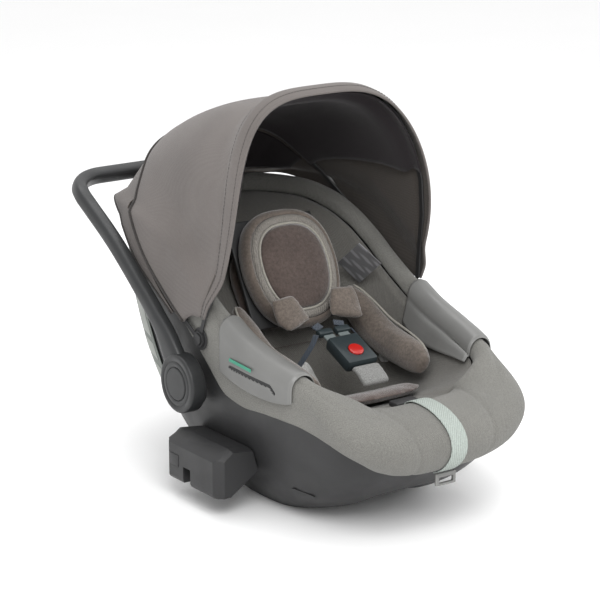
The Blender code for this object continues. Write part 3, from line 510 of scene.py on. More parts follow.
def linear(*srgb):
    """Seen sRGB colour, 0-255, to the surface's own linear colour."""
    return tuple(TONE * ((c / 255 + .055) / 1.055) ** 2.4 for c in srgb)


def scaled_rgb(rgb, k):
    return tuple(min(1.0, c * k) for c in rgb)


def woven(name, rgb, thread, contrast, depth=.0004, fleck=900, relief=.14):
    """Cloth: crossed threads, mottled yarn and slow variation of tone."""
    look = Look(name, .9, sheen=.15, specular=.2)
    yarn = look.ramp(look.noise(fleck, 3, .7), .36, .64,
                     scaled_rgb(rgb, 1 - contrast * .6), scaled_rgb(rgb, 1 + contrast))
    warp = look.waves(thread, (0, 0, .785))
    weft = look.waves(thread, (.9, .6, -.785))
    threads = look.joined(warp, weft, "ADD")
    tone = look.shade(yarn, look.scaled(look.noise(9, 2), .90, 1.08))
    lit = look.remap(threads, 0, 2, 1 - relief, 1 + relief * .8)
    look.base(look.shade(tone, lit))
    fuzz = look.joined(look.noise(1400, 2), threads, "ADD")
    look.bump(fuzz, depth, .8)
    return look.m


def plush(name, rgb, sheen=.5, pile=900):
    """Short pile knit: soft clumps, strong sheen, no visible threads."""
    look = Look(name, .95, sheen=sheen, specular=.15)
    clump = look.ramp(look.noise(pile * .28, 4, .65), .35, .65,
                      scaled_rgb(rgb, .80), scaled_rgb(rgb, 1.22))
    look.base(look.shade(clump, look.scaled(look.noise(22, 3), .86, 1.12)))
    look.bump(look.joined(look.noise(pile, 3, .7), look.noise(60, 2), "ADD"), .0009, .7)
    return look.m


def moulded(name, rgb, rough, depth=.00012, coat=0.0, specular=.4):
    """Moulded plastic: fine spark-eroded grain, with a painted highlight that lightens its edges."""
    look = Look(name, rough, coat=coat, specular=specular)
    tone = look.ramp(look.noise(14, 3), .3, .7, scaled_rgb(rgb, .92), scaled_rgb(rgb, 1.10))
    edge_highlight = look.add("ShaderNodeNewGeometry").outputs["Pointiness"]
    # painted highlight: sharp convex edges up to half as light again, where they would catch the light
    look.base(look.shade(tone, look.remap(edge_highlight, .50, .62, 1, 1.5)))
    look.link(look.scaled(look.noise(30, 3), rough - .05, rough + .07), look.bsdf.inputs["Roughness"])
    look.bump(look.noise(1100, 2, .6), depth, .6)
    return look.m


def webbing(name, rgb, rib=.0022):
    """Woven narrow webbing with herringbone ribs."""
    look = Look(name, .75, sheen=.1, specular=.3)
    ribs = look.waves(rib, (0, 0, .6))
    cross = look.waves(rib * .5, (.5, .4, -.6))
    both = look.joined(ribs, cross, "ADD")
    yarn = look.ramp(both, .3, 1.7, scaled_rgb(rgb, .72), scaled_rgb(rgb, 1.25))
    look.base(look.shade(yarn, look.scaled(look.noise(500, 2), .88, 1.10)))
    look.bump(both, .0006, .8)
    return look.m


def brushed(name, rgb):
    """Metal with fine brush marks."""
    look = Look(name, .3, metal=1.0)
    look.base(look.ramp(look.noise(60, 4), .3, .7, scaled_rgb(rgb, .85), scaled_rgb(rgb, 1.1)))
    look.bump(look.waves(.0006, (0, .3, 1.2)), .00005, .5)
    return look.m


def patterned_label(name, rgb):
    """Woven badge cloth with a plain raised check, no lettering."""
    look = Look(name, .55, sheen=.2, specular=.5)
    check = look.joined(look.waves(.011, (0, .9, 0)), look.waves(.011, (.7, 0, 1.2)))
    look.base(look.ramp(check, .2, .6, scaled_rgb(rgb, .62), scaled_rgb(rgb, 1.2)))
    look.bump(look.joined(look.waves(.0009, (0, 0, 0)), check, "ADD"), .0003, .8)
    return look.m


def all_materials():
    cloths = {
        "cover": ("cover_melange", (134, 133, 128), .0018, .34, .0004, 900, .08),
        "lining": ("cover_lining", (124, 122, 117), .0018, .34, .0004, 900, .08),
        "canopy": ("canopy_cloth_fine", (120, 114, 111), .0018, .14, .0002, 950, .03),
        "inside": ("canopy_inside", (84, 78, 73), .0018, .2, .0002, 900, .04),
        "panel": ("canopy_dark_panel", (46, 40, 43), .0018, .15, .0002, 900, .04),
        "piping": ("piping_cream", (182, 178, 168), .0012, .15),
        "dark_piping": ("piping_dark", (66, 62, 60), .0012, .15),
        "mesh": ("white_mesh", (150, 145, 138), .0024, .3, .0008, 700),
        "pale_pad": ("crotch_pad_cloth", (148, 148, 146), .0016, .4, .0004, 650),
        "thread": ("thread", (96, 92, 90), .0006, .1),
    }
    plastics = {
        "shell": ("black_plastic_fine", (50, 50, 51), .48),
        "handle": ("handle_plastic_fine", (46, 47, 48), .42),
        "guide": ("satin_grey_plastic_fine", (128, 128, 126), .36, .00006),
        "green": ("green_plastic_fine", (66, 158, 130), .40),
        "red": ("red_plastic_fine", (205, 36, 30), .22, .00003, .6, .5),
        "slate": ("slate_plastic_fine", (46, 55, 58), .38),
        "tongue": ("tongue_pale_plastic", (120, 128, 128), .35),
        "plate": ("label_plate_fine", (112, 118, 112), .5),
        "patch": ("label_patch", (168, 172, 166), .55),
    }
    looks = {key: woven(name, linear(*rgb), *rest) for key, (name, rgb, *rest) in cloths.items()}
    looks |= {key: moulded(name, linear(*rgb), *rest) for key, (name, rgb, *rest) in plastics.items()}
    return looks | {
        "steel": brushed("tongue_metal_fine", (.62, .64, .66)),
        "velvet": plush("insert_plush", linear(96, 84, 79)),
        "bolster": plush("bolster_plush", linear(116, 106, 98)),
        "foam": plush("foam_grain", (.5, .5, .49), .1),
        "web": webbing("webbing_slate", linear(78, 87, 99)),
        "strap": webbing("pull_strap_pale", linear(196, 206, 199), .0026),
        "label": patterned_label("woven_label_fine", linear(150, 150, 153)),
    }


# -------------------------------------------------------------- mesh helpers
def piece(name, verts, faces, look):
    """Smooth closed mesh object with outward faces."""
    me = bpy.data.meshes.new(name)
    me.from_pydata([tuple(v) for v in verts], [], faces)
    bm = bmesh.new()
    bm.from_mesh(me)
    bmesh.ops.remove_doubles(bm, verts=bm.verts, dist=1e-6)
    bmesh.ops.recalc_face_normals(bm, faces=bm.faces)
    if bm.calc_volume(signed=True) < 0:
        bmesh.ops.reverse_faces(bm, faces=bm.faces)
    for f in bm.faces:
        f.smooth = True
    bm.to_mesh(me)
    bm.free()
    me.materials.append(look)
    ob = bpy.data.objects.new(name, me)
    bpy.context.scene.collection.objects.link(ob)
    return ob


def circle(centre, t, radius, n):
    """Ring of points round a centre, square to the direction t."""
    u = t.cross(Vector((.31, .17, .93))).normalized()
    v = t.cross(u)
    return [centre + (u * math.cos(2 * math.pi * k / n) + v * math.sin(2 * math.pi * k / n)) * radius
            for k in range(n)]


def tube(name, path, radius, look, close=False):
    """Round cord of cloth along a path, used for piping."""
    path = [Vector(p) for p in path]
    last = len(path) - 1
    rings = []
    for i, p in enumerate(path):
        a = path[i - 1] if close else path[max(i - 1, 0)]
        b = path[(i + 1) % len(path)] if close else path[min(i + 1, last)]
        rings.append(circle(p, (b - a).normalized(), radius, 10))
    verts, faces = skin(rings, close=close)
    return piece(name, verts, faces, look)


def along(knots, count):
    """Points read from a smooth curve through the knots."""
    cols = [[(i, k[a]) for i, k in enumerate(knots)] for a in range(len(knots[0]))]
    return [[curve((len(knots) - 1) * i / (count - 1), c) for c in cols] for i in range(count)]


def stitches(name, path, look, length=.0032, gap=.0016, radius=.00045):
    """Row of short raised threads along a path."""
    verts, faces = [], []
    travelled, start = 0.0, None
    for a, b in zip(path, path[1:]):
        if start is None:
            start = a
        travelled += (b - a).length
        if travelled >= length:
            first = len(verts)
            rings = [circle(start.lerp(b, s), (b - start).normalized(), radius * r, 6)
                     for s, r in ((0, .35), (.2, 1), (.8, 1), (1, .35))]
            v, f = skin(rings)
            verts += v
            faces += [tuple(first + i for i in face) for face in f]
            travelled, start = -gap, None
        elif travelled < 0:
            start = None
    return piece(name, verts, faces, look)


def press(ob, seams, width, depth):
    """Presses a valley into the mesh along each seam line."""
    points = [p for seam in seams for p in seam]
    tree = KDTree(len(points))
    for i, p in enumerate(points):
        tree.insert(p, i)
    tree.balance()
    normals = [v.normal.copy() for v in ob.data.vertices]
    for v, n in zip(ob.data.vertices, normals):
        v.co = v.co - n * (depth * math.exp(-(tree.find(v.co)[2] / width) ** 2))


def ripple(ob, amount, scale, seed, share):
    """Slow uneven movement of a cloth along its normals; share(point) says how much."""
    normals = [v.normal.copy() for v in ob.data.vertices]
    for v, n in zip(ob.data.vertices, normals):
        v.co = v.co + n * (amount * share(v.co) * noise.noise(v.co * scale + Vector((seed, seed, seed))))


def refine(ob):
    """One level of subdivision, applied."""
    mod = ob.modifiers.new("fine", "SUBSURF")
    mod.levels = mod.render_levels = 1
    applied(ob)


def applied(ob):
    """Bakes the modifiers of an object into its mesh."""
    deps = bpy.context.evaluated_depsgraph_get()
    deps.update()
    me = bpy.data.meshes.new_from_object(ob.evaluated_get(deps))
    ob.modifiers.clear()
    ob.data = me
    return ob


def stuff(pads, voxel=.005, frames=20):
    """Blows the pads up with one cloth simulation, each to its own cap."""
    starts = []
    for ob, _ in pads:
        remesh = ob.modifiers.new("voxels", "REMESH")
        remesh.mode = "VOXEL"
        remesh.voxel_size = voxel
        remesh.use_smooth_shade = True
        applied(ob)
        ob.data.shade_smooth()
        starts.append([v.co.copy() for v in ob.data.vertices])
        cloth = ob.modifiers.new("stuffing", "CLOTH")
        cloth.settings.use_pressure = True
        cloth.settings.uniform_pressure_force = 4
        cloth.settings.effector_weights.gravity = 0
        cloth.point_cache.frame_start = 1
        cloth.point_cache.frame_end = frames
    for f in range(1, frames + 1):
        bpy.context.scene.frame_set(f)
    deps = bpy.context.evaluated_depsgraph_get()
    swollen = [[v.co.copy() for v in ob.evaluated_get(deps).data.vertices] for ob, _ in pads]
    for (ob, cap), start, end in zip(pads, starts, swollen):
        ob.modifiers.clear()
        for v, a, b in zip(ob.data.vertices, start, end):
            d = b - a
            v.co = a + d * min(1.0, cap / max(d.length, 1e-9))
    bpy.context.scene.frame_set(1)


# ---------------------------------------------------------------- the bucket
def ring_angles(n):
    return [2 * math.pi * (k + .5) / n for k in range(n)]


def shell_piece(look):
    """Thin-walled bucket with a rounded top edge and two runners below."""
    th = ring_angles(220)
    tops = [crest(t) - SHELL_DROP for t in th]
    rows, lip, floor = 34, .0012, .005

    def underside(ring, z, shares):
        mid = Vector((0, -.045, 0))
        return [[arched(Vector((mid.x + (p.x - mid.x) * s, mid.y + (p.y - mid.y) * s, z))) for p in ring]
                for s in shares]

    def wall(i, inward=0.0, lowest=0.0):
        share = (i / rows) ** 1.15
        return [arched(at(t, max(lowest, (z - lip) * share), inward)) for t, z in zip(th, tops)]
    rings = underside([at(t, 0) for t in th], 0.0, (.1, .3, .5, .7, .85, .96))
    rings += [wall(i) for i in range(rows + 1)]
    rings += [[arched(at(t, z, inward)) for t, z in zip(th, tops)] for inward in (lip * .4, WALL - lip * .4)]
    rings += [wall(i, WALL, floor) for i in range(rows, 1, -2)]
    rings += underside([at(t, floor, WALL) for t in th], floor, (.98, .8, .5, .2))
    v, f = skin(rings)
    return piece("shell_fine", v, f, look)


RIM_OUTSIDE = 43             # points of the section that show


def rim_section(th):
    """Fine cross-section of the padded rim, from its lower edge round to the shell."""
    zc, ze, w = crest(th), edge_z(th), nose(th)
    zt = zc - SHELL_DROP
    b, nr = lerp(.0025 + .004 * smooth((plan(th, .2)[1] - .06) / .1), .0347, w), lerp(.015, .042, w)
    ni, r2 = lerp(.031, .070, w), lerp(.020, .012, w)
    zm = lerp(ze, zc, lerp(.62, .45, w))
    pts = []
    for k in range(15):
        a = math.radians(-90 + 90 * k / 14)
        pts.append((-GAP - (b - GAP) * max(0, math.cos(a)) ** .8, zm + (zm - ze) * math.sin(a)))
    for k in range(1, 17):
        a = math.radians(90 * k / 16)
        pts.append((-b + (nr + b) * (1 - math.cos(a)), zm + (zc - zm) * math.sin(a)))
    for k in range(1, 13):
        a = math.radians(90 * k / 12)
        pts.append((nr + (ni - nr) * math.sin(a), zc - r2 * (1 - math.cos(a))))
    zb = zt - .012
    pts += [(ni - .002, zc - r2 - .004), (WALL + 2 * GAP, zb), (WALL + 2 * GAP, zt + GAP), (-GAP, zt + GAP)]
    pts += [(-GAP, lerp(ze, zt, .5))]
    return pts


def on_rim(th, share):
    """Point on the rim's surface; share runs 0 at the lower edge to 1 at the inner edge."""
    pts = rim_section(th)[:RIM_OUTSIDE]
    s = share * (len(pts) - 1)
    i = min(len(pts) - 2, int(s))
    a, b = pts[i], pts[i + 1]
    t = s - i
    return at(th, lerp(a[1], b[1], t), lerp(a[0], b[0], t))


def rim_seams():
    """Seams of the lip's middle panel, and the long seam inside the crest."""
    panel = [(34, .97), (27, .74), (21, .52), (17, .02)]      # degrees from the feet, share of the rim
    inside = [(30, .62), (60, .58), (100, .56), (150, .58), (180, .6)]
    seams = []
    for knots, count in ((panel, 60), (inside, 420)):
        for s in (-1, 1):
            seams.append([on_rim(math.radians(270 + s * a), q) for a, q in along(knots, count)])
    return seams


def rim_piece(look):
    """Padded rim with slight wrinkles low outside and pressed-in seams."""
    rings = [[at(t, z, n) for n, z in rim_section(t)] for t in ring_angles(460)]
    v, f = skin(rings, close=True, caps=False)
    ob = piece("rim_cover_padded", v, f, look)

    def loose(p):
        beside_arms = abs(p.x) > .165 and p.y > -.03
        return 0 if beside_arms else smooth((curve(p.y, CREST_Z) - p.z) / .05)
    ripple(ob, .0011, 34, 3.1, loose)
    press(ob, rim_seams(), .0032, .0019)
    return ob


def lining_piece(look):
    """Thin cloth over the whole inside of the seat."""
    shares = [(k / 26) ** .8 for k in range(1, 27)]
    shares[-1] = 1
    c = Vector((SEAT_CENTRE[0], SEAT_CENTRE[1], 0))
    rings = []
    for drop, order in ((0, shares), (LINING * .8, shares[::-1])):
        for s in order:
            ring = []
            for t in ring_angles(200):
                e = lining_edge(t)
                q = c + Vector((e.x - c.x, e.y - c.y, 0)) * s
                ring.append(Vector((q.x, q.y, (e.z if s == 1 else seat_z(q.x, q.y)) - drop)))
            rings.append(ring)
    v, f = skin(rings)
    return piece("seat_lining_cloth", v, f, look)


BELT_SLOT = [(-.174, .1965), (-.166, .2040), (-.078, .2095)]   # y, z of its middle line


def slot_distance(y, z):
    """Distance from the belt slot's middle line, in the guide's outer face."""
    p, best = Vector((y, z)), 1.0
    for a, b in zip(BELT_SLOT, BELT_SLOT[1:]):
        a, b = Vector(a), Vector(b)
        t = max(0.0, min(1.0, (p - a).dot(b - a) / (b - a).length_squared))
        best = min(best, (p - a.lerp(b, t)).length)
    return best


def guide_piece(s, look, dark):
    """Saddle over the rim, with a shallow slot for the belt whose faces carry painted shade, and a smooth
    rounded rear end.
    """
    y0, y1, n = -.205, -.050, 131
    thick, slot_deep = .0030, .0022
    wall = 36                # rows of the outer wall, below the crest
    top, bottom = [], []
    for i in range(n):
        u = i / (n - 1)
        y = lerp(y0, y1, u)
        zc = curve(y, CREST_Z)
        end = math.sin(math.pi * (.10 + .80 * u)) ** .35
        xo, xi = side_x(y, .2) + .0040, side_x(y, .2) - .0315
        xm, hw = (xo + xi) / 2, (xo - xi) / 2
        zo = lerp(.178, .190, u) + (1 - end) * .03
        base = [(xo + .001, lerp(zo, zc - .022, t / wall)) for t in range(wall)]
        for k in range(25):
            a = math.pi * k / 24
            base.append((xm + (hw + .001) * math.cos(a), zc - .022 + .0235 * math.sin(a) ** .8))
        for t in (.15, .3, .5, .7, .85, 1):
            x = xi - .001 - t * .014 * end
            base.append((x, min(zc - .022, seat_z(x + .004, y) + .0035)))
        outer = []
        edge = min(u, 1 - u) * (y1 - y0)
        t_here = thick * (.35 + .65 * smooth(edge / .004))
        for k, (x, z) in enumerate(base):
            p, q = base[max(k - 1, 0)], base[min(k + 1, len(base) - 1)]
            dx, dz = q[0] - p[0], q[1] - p[1]
            m = math.hypot(dx, dz)
            sunk = 0
            if k < wall:
                sunk = slot_deep * (1 - smooth((slot_distance(y, z) - .0020) / .0013))
            outer.append((x + dz / m * t_here - sunk, z - dx / m * t_here))
        bottom.append([(s * x, y, z) for x, z in base])
        top.append([(s * x, y, z) for x, z in outer])
    v, f = slab(top, bottom)
    ob = piece("belt_guide_fine_" + ("left" if s < 0 else "right"), v, f, look)
    # painted shade: the shallow slot's faces take the black shell plastic to stand for the dark depth of an
    # open slot
    ob.data.materials.append(dark)
    for poly in ob.data.polygons:
        c = poly.center
        if s * c.x > side_x(c.y, .2) and slot_distance(c.y, c.z) < .0026:
            poly.material_index = 1
    return ob


def plate_pieces(s, look, patch):
    """Label plate on the shell's side, with blank printed patches."""
    side = "left" if s < 0 else "right"

    def spot(u, v, out):
        y = lerp(lerp(.095, .170, v), lerp(.178, .248, v), u)
        z = lerp(.105, .262, v) + .006 * math.sin(math.pi * u)
        return (s * (side_x(y, z) + out), y, z)

    def panel(name, u0, u1, v0, v1, low, high, mat):
        us = [lerp(u0, u1, k / 24) for k in range(25)]
        vs = [lerp(v0, v1, k / 30) for k in range(31)]
        a = [[spot(u, v, high) for v in vs] for u in us]
        b = [[spot(u, v, low) for v in vs] for u in us]
        vv, ff = slab(a, b)
        return piece(name, vv, ff, mat)
    base = panel("side_plate_fine_" + side, 0, 1, 0, 1, .0014, .0026, look)
    spots = [(.12, .55, .56, .92), (.14, .80, .36, .50), (.18, .60, .10, .28)]
    patches = [panel(f"label_patch_{side}_{i}", *q, .0027, .0030, patch) for i, q in enumerate(spots)]
    return base, patches


# ---------------------------------------------------------------- the handle
def handle_piece(look):
    """U bar from hub to hub."""
    d, up = handle_axes()
    o = Vector((0, *HANDLE_PIVOT))
    flat = [(-arm_middle(r), r) for r in [.012 + .258 * k / 60 for k in range(61)]]
    c, x0 = HANDLE_CORNER, arm_middle(.3)
    for k in range(29):
        a = math.pi / 2 * k / 28
        flat.append((-(x0 - c) - c * math.cos(a), HANDLE_REACH - c + c * math.sin(a)))
    flat += [(-(x0 - c) * (1 - k / 12), HANDLE_REACH) for k in range(1, 13)]
    flat += [(-x, r) for x, r in flat[-2::-1]]
    path = [o + Vector((x, 0, 0)) + d * r + up * curve(r, ARM_RISE) for x, r in flat]
    rings = sweep(path, lambda i: up, lambda i: curve(flat[i][1], ARM_HALF),
                  lambda i: arm_thick(flat[i][1]), power=3.0, n=40)
    v, f = skin(rings)
    return piece("handle_bar_fine", v, f, look)


def hub_piece(s, look):
    """Turned hub at the arm's end, with the button's recess and a thin groove."""
    y, z = HANDLE_PIVOT
    bore, recess = .0088, .2002
    prof = [(HUB_IN, bore), (HUB_IN, HUB_R - .002), (HUB_IN + .0006, HUB_R - .0006), (HUB_IN + .002, HUB_R)]
    prof += [(HUB_OUT - .0040 + .0040 * math.sin(a), HUB_R - .0040 * (1 - math.cos(a)))
             for a in [math.pi / 2 * k / 8 for k in range(9)]]
    prof += [(HUB_OUT, .0330), (HUB_OUT - .0008, .0324), (HUB_OUT - .0008, .0314), (HUB_OUT, .0308)]
    prof += [(HUB_OUT, CAP_R + .0012), (HUB_OUT - .0007, CAP_R + .0005)]
    prof += [(recess, CAP_R + .0005), (recess, bore)]
    n = 96
    rings = [[(s * x, y + r * math.cos(2 * math.pi * k / n), z + r * math.sin(2 * math.pi * k / n))
              for k in range(n)] for x, r in prof]
    v, f = skin(rings, close=True, caps=False)
    return piece("handle_hub_" + ("left" if s < 0 else "right"), v, f, look)


# ---------------------------------------------------------------- the canopy
def line_inside(ob, look, middle):
    """Gives the faces that look towards the middle the lining's material."""
    ob.data.materials.append(look)
    for poly in ob.data.polygons:
        if poly.normal.dot(poly.center - middle) < 0:
            poly.material_index = 1


def hem(alpha):
    """Angle across the canopy where the dark panel ends."""
    share = curve(alpha, HEM_SHARE)
    return math.atan((share ** -CANOPY_SQ - 1) ** (1 / CANOPY_SQ))


def canopy_cloth_piece(looks):
    """Main cloth: one curved sheet with the front band's pressed seam."""
    alphas = [lerp(REAR_EDGE, FRONT_EDGE, k / 96) for k in range(97)]
    outer, inner = ([[canopy_point(a, p, off) for p in across(181)] for a in alphas] for off in (0, -FABRIC))
    v, f = slab(outer, inner)
    cloth = piece("canopy_cloth_fine", v, f, looks["canopy"])
    line_inside(cloth, looks["inside"], Vector((0, CANOPY_PIVOT[0] + .08, CANOPY_PIVOT[1] + .05)))
    press(cloth, [[canopy_point(.2, p) for p in across(200)]], .0028, .0014)

    def slack(p):
        return smooth((canopy_half(p.y, p.z) - CANOPY_SLIM) / .012) * .6 + .4
    ripple(cloth, .0011, 13, 7.7, slack)
    return cloth


def canopy_panel_piece(look):
    """Dark panel under the visor, below both bows, ending at its hem."""
    rows = [lerp(REAR_EDGE + .6, FRONT_EDGE - 1.0, k / 60) for k in range(61)]
    top, low = ([[canopy_point(a, lerp(-hem(a), hem(a), k / 90), off) for k in range(91)] for a in rows]
                for off in (-.0082, -.0092))
    v, f = slab(top, low)
    return piece("canopy_inner_panel", v, f, look)


def canopy_cord(name, alpha, off, radius, look):
    """Piping over the canopy from side to side."""
    return tube(name, [canopy_point(alpha, p, off) for p in across(160)], radius, look)


def rear_pieces(looks):
    """Rear cloth, its dark lining and the piping along its lower edge."""
    grid = rear_cloth_grid(34, 121)
    v, f = slab(grid, thicken(grid, FABRIC))
    cloth = piece("canopy_rear_fine", v, f, looks["canopy"])
    line_inside(cloth, looks["inside"], Vector((0, .08, .28)))
    inner = [row[26:95] for row in thicken(grid, FABRIC + .0006)[2:26]]
    v, f = slab(inner, thicken(inner, .0008))
    lining = piece("canopy_rear_lining", v, f, looks["panel"])
    return cloth, lining, tube("canopy_rear_hem", grid[-1], .0018, looks["dark_piping"])


# -------------------------------------------------------- insert and head pad
def oval(share, behind, half_x, half_up, power=2.6, n=120):
    """Ring round the head pad, at a share of its size and a depth behind its face."""
    ring = []
    for k in range(n):
        c, q = math.cos(2 * math.pi * k / n), math.sin(2 * math.pi * k / n)
        r = share / (abs(c) ** power + abs(q) ** power) ** (1 / power)
        ring.append(head_frame(half_up * r * q, behind, half_x * r * c * (1 - .10 * max(0, -q))))
    return ring


def head_pad_pieces(looks):
    """Crowned cushion, outer band and mesh band, with cream piping between."""
    hx, hu, depth = .078, .088, .0405
    prof = [(.0, .05), (.0, .25), (.0008, .42), (.0022, .56), (.0042, .66), (.0066, .71)]
    rings = [oval(s, d, hx, hu) for d, s in prof]
    v, f = skin(rings + [oval(.60, .014, hx, hu), oval(.3, .014, hx, hu)])
    cushion = piece("head_pad_cushion", v, f, looks["velvet"])
    pipe = tube("head_pad_piping", oval(.725, .0068, hx, hu), .0019, looks["piping"], close=True)
    band = [(.0076, .735), (.0058, .78), (.0060, .83), (.0082, .87)]
    back_rings = [oval(.87, .016, hx, hu), oval(.735, .016, hx, hu)]
    v, f = skin([oval(s, d, hx, hu) for d, s in band] + back_rings, close=True, caps=False)
    mesh = piece("head_pad_mesh", v, f, looks["mesh"])
    outer = [(.0092, .875), (.0096, .93), (.0130, .975), (.0200, 1), (.0300, .985), (.0385, .93),
             (depth, .84), (depth, .4)]
    front_rings = [oval(.3, .0165, hx, hu), oval(.872, .0165, hx, hu)]
    v, f = skin(front_rings + [oval(s, d, hx, hu) for d, s in outer])
    back = piece("head_pad_band", v, f, looks["bolster"])
    return cushion, pipe, mesh, back


def bolster_pieces(s, looks):
    """Side cushion of the insert, and the piping on its outer edge."""
    side = "left" if s < 0 else "right"
    knots = [(.086, -.156, .176, .010), (.093, -.130, .180, .017), (.097, -.095, .184, .0195),
             (.099, -.055, .190, .0205), (.098, -.020, .204, .0205), (.094, .012, .224, .018),
             (.088, .038, .244, .010)]
    pts = along(knots, 31)
    path = [(s * (x + .004), y, z + .005) for x, y, z, h in pts]
    half = [p[3] * .97 for p in pts]
    rings = sweep(path, lambda i: (s * .5, 0, .86), lambda i: half[i] * 1.34, lambda i: half[i] * .78,
                  power=2.3, n=36)
    v, f = skin(rings)
    pad = piece("bolster_plush_" + side, v, f, looks["bolster"])
    out = Vector((s * .5, 0, .86))
    trim = [Vector(p) + out * (h * 1.37) + Vector((s * .0005, 0, 0)) for p, h in zip(path, half)][2:-2]
    pipe = tube("bolster_piping_" + side, trim, .0016, looks["piping"])
    return pad, pipe


def surface_cushion(name, centre, half, thick, base, look, clear, lid=None, power=3.0, n=72):
    """Crowned cushion lying on a surface given by its height."""
    rings, under = [], []
    for sh in (.12, .25, .38, .5, .61, .72, .81, .89, .95, 1):
        row, low = [], []
        for k in range(n):
            c, q = math.cos(2 * math.pi * k / n), math.sin(2 * math.pi * k / n)
            r = sh / (abs(c) ** power + abs(q) ** power) ** (1 / power)
            x, y = centre[0] + half[0] * r * c, centre[1] + half[1] * r * q
            z = base(x, y) + clear + thick * (.35 + .65 * (1 - sh ** 4))
            row.append((x, y, min(z, lid(x, y)) if lid else z))
            low.append((x, y, base(x, y) + clear))
        rings.append(row)
        under.append(low)
    v, f = skin(rings + under[::-1])
    return piece(name, v, f, look)


def board_z(y, behind):
    """Height of the plane that lies behind the head pad's face."""
    p = head_frame(0, behind)
    return p.z + (y - p.y) * SLOPE[1] / SLOPE[0]


# ------------------------------------------------------------------ harness
def shoulder_pad_piece(s, look):
    """Soft sleeve on the shoulder strap."""
    knots = [(s * .052, -.0130, .2715, .020), (s * .050, -.0215, .2570, .025),
             (s * .046, -.0310, .2440, .027), (s * .041, -.0425, .2365, .0255)]
    pts = along(knots, 19)
    rings = sweep([p[:3] for p in pts], lambda i: (1, 0, 0), lambda i: pts[i][3] * .96,
                  lambda i: .0078 * (.62 + .38 * math.sin(math.pi * i / 18) ** .5), power=2.6, n=36)
    v, f = skin(rings)
    return piece("shoulder_pad_plush_" + ("left" if s < 0 else "right"), v, f, look)


def strip_piece(name, knots, half_w, half_t, look, side=(1, 0, 0)):
    """Flat strap through the knots."""
    path = along(knots, 24)
    v, f = skin(sweep(path, lambda i: side, half_w, half_t, power=6, n=24))
    return piece(name, v, f, look)


def pull_strap_piece(look):
    """Flat strap over the middle of the lip."""
    th = math.radians(270)
    line = [at(th, z, n) for n, z in rim_section(th)[3:RIM_OUTSIDE:2]]
    path = []
    for i, p in enumerate(line):
        a, b = line[max(i - 1, 0)], line[min(i + 1, len(line) - 1)]
        t = (b - a).normalized()
        out = Vector((0, -t.z, t.y))
        if out.dot(p - Vector((0, -.25, .13))) < 0:
            out = -out
        path.append(p + out * .0024)
    path.append(Vector((0, -.246, seat_z(0, -.246) + .0014)))
    v, f = skin(sweep(path, lambda i: (1, 0, 0), .0135, .0009, power=6, n=24))
    return piece("pull_strap_fine", v, f, look)


# -------------------------------------------------------------- carried nodes
SIDES = ((-1, "left"), (1, "right"))
CARRIED = {                  # * stands for each side
    "guide": ["strap_loop"],
    "green": ["belt_marker_*"],
    "red": ["buckle_button"],
    "slate": ["buckle", "tongue_grip_*"],
    "tongue": ["tongue_*"],
    "steel": ["handle_pin_*"],
    "handle": ["handle_button_*"],
    "shell": ["corner_plug_*", "connector_*", "connector_latch_*", "handle_boss_*", "canopy_bracket_*",
              "headrest_rail_*", "headrest_plate", "adjuster_housing", "canopy_front_bow",
              "canopy_rear_bow"],
    "label": ["woven_label"],
    "foam": ["foam_liner"],
}
EDGE_WIDTH = {"buckle": .0012, "connector_*": .0012}


def dress_node(ob, look, width):
    """Material, welded smooth shading and small rounded edges on a CAD node."""
    ob.data.materials.clear()
    ob.data.materials.append(look)
    for poly in ob.data.polygons:
        poly.use_smooth = True
    if "custom_normal" in ob.data.attributes:
        ob.data.attributes.remove(ob.data.attributes["custom_normal"])
    weld = ob.modifiers.new("weld", "WELD")
    weld.merge_threshold = .00001
    bevel = ob.modifiers.new("edge_highlight", "BEVEL")
    bevel.width = width
    bevel.segments = 3
    bevel.limit_method = "ANGLE"
    bevel.angle_limit = math.radians(32)
    bevel.harden_normals = True


# -------------------------------------------------------------- floor, lights
# area lights: name, place, size, power
LIGHTS = [("key", (-.9, -1.6, 1.9), 1.3, 34), ("fill", (1.9, -1.1, 1.2), 1.6, 14),
          ("top", (.2, .6, 2.2), 1.6, 20)]


def studio():
    """Pale world, white floor and soft lights."""
    world = bpy.data.worlds.new("pale")
    bpy.context.scene.world = world
    world.use_nodes = True
    world.node_tree.nodes["Background"].inputs["Color"].default_value = (1, 1, 1, 1)
    world.node_tree.nodes["Background"].inputs["Strength"].default_value = 1.0
    me = bpy.data.meshes.new("floor")
    r, below = 6.0, -.0005
    me.from_pydata([(-r, -r, below), (r, -r, below), (r, r, below), (-r, r, below)], [], [(0, 1, 2, 3)])
    floor = bpy.data.objects.new("floor", me)
    bpy.context.scene.collection.objects.link(floor)
    look = Look("floor_white", .8, specular=.1)
    look.base(look.ramp(look.noise(3, 2), 0, 1, (.93, .93, .93), (.95, .95, .95)))
    me.materials.append(look.m)
    for name, place, size, power in LIGHTS:
        light = bpy.data.lights.new(name, "AREA")
        light.size = size
        light.energy = power
        ob = bpy.data.objects.new(name, light)
        ob.location = place
        ob.rotation_euler = (Vector((0, -.02, .22)) - Vector(place)).to_track_quat("-Z", "Y").to_euler()
        bpy.context.scene.collection.objects.link(ob)


def camera():
    """Long-lens camera in the photograph's direction."""
    a, e = math.radians(VIEW_TURN), math.radians(VIEW_RISE)
    right = Vector((math.cos(a), -math.sin(a), 0))
    back = Vector((-math.sin(a) * math.cos(e), -math.cos(a) * math.cos(e), math.sin(e)))
    up = back.cross(right)
    data = bpy.data.cameras.new("view")
    data.lens = VIEW_LENS
    data.sensor_width = 36
    data.clip_end = 50
    ob = bpy.data.objects.new("view", data)
    ob.location = VIEW_TARGET + right * VIEW_RIGHT + up * VIEW_UP + back * VIEW_BACK
    ob.rotation_euler = Matrix((right, up, back)).transposed().to_euler()
    bpy.context.scene.collection.objects.link(ob)
    bpy.context.scene.camera = ob


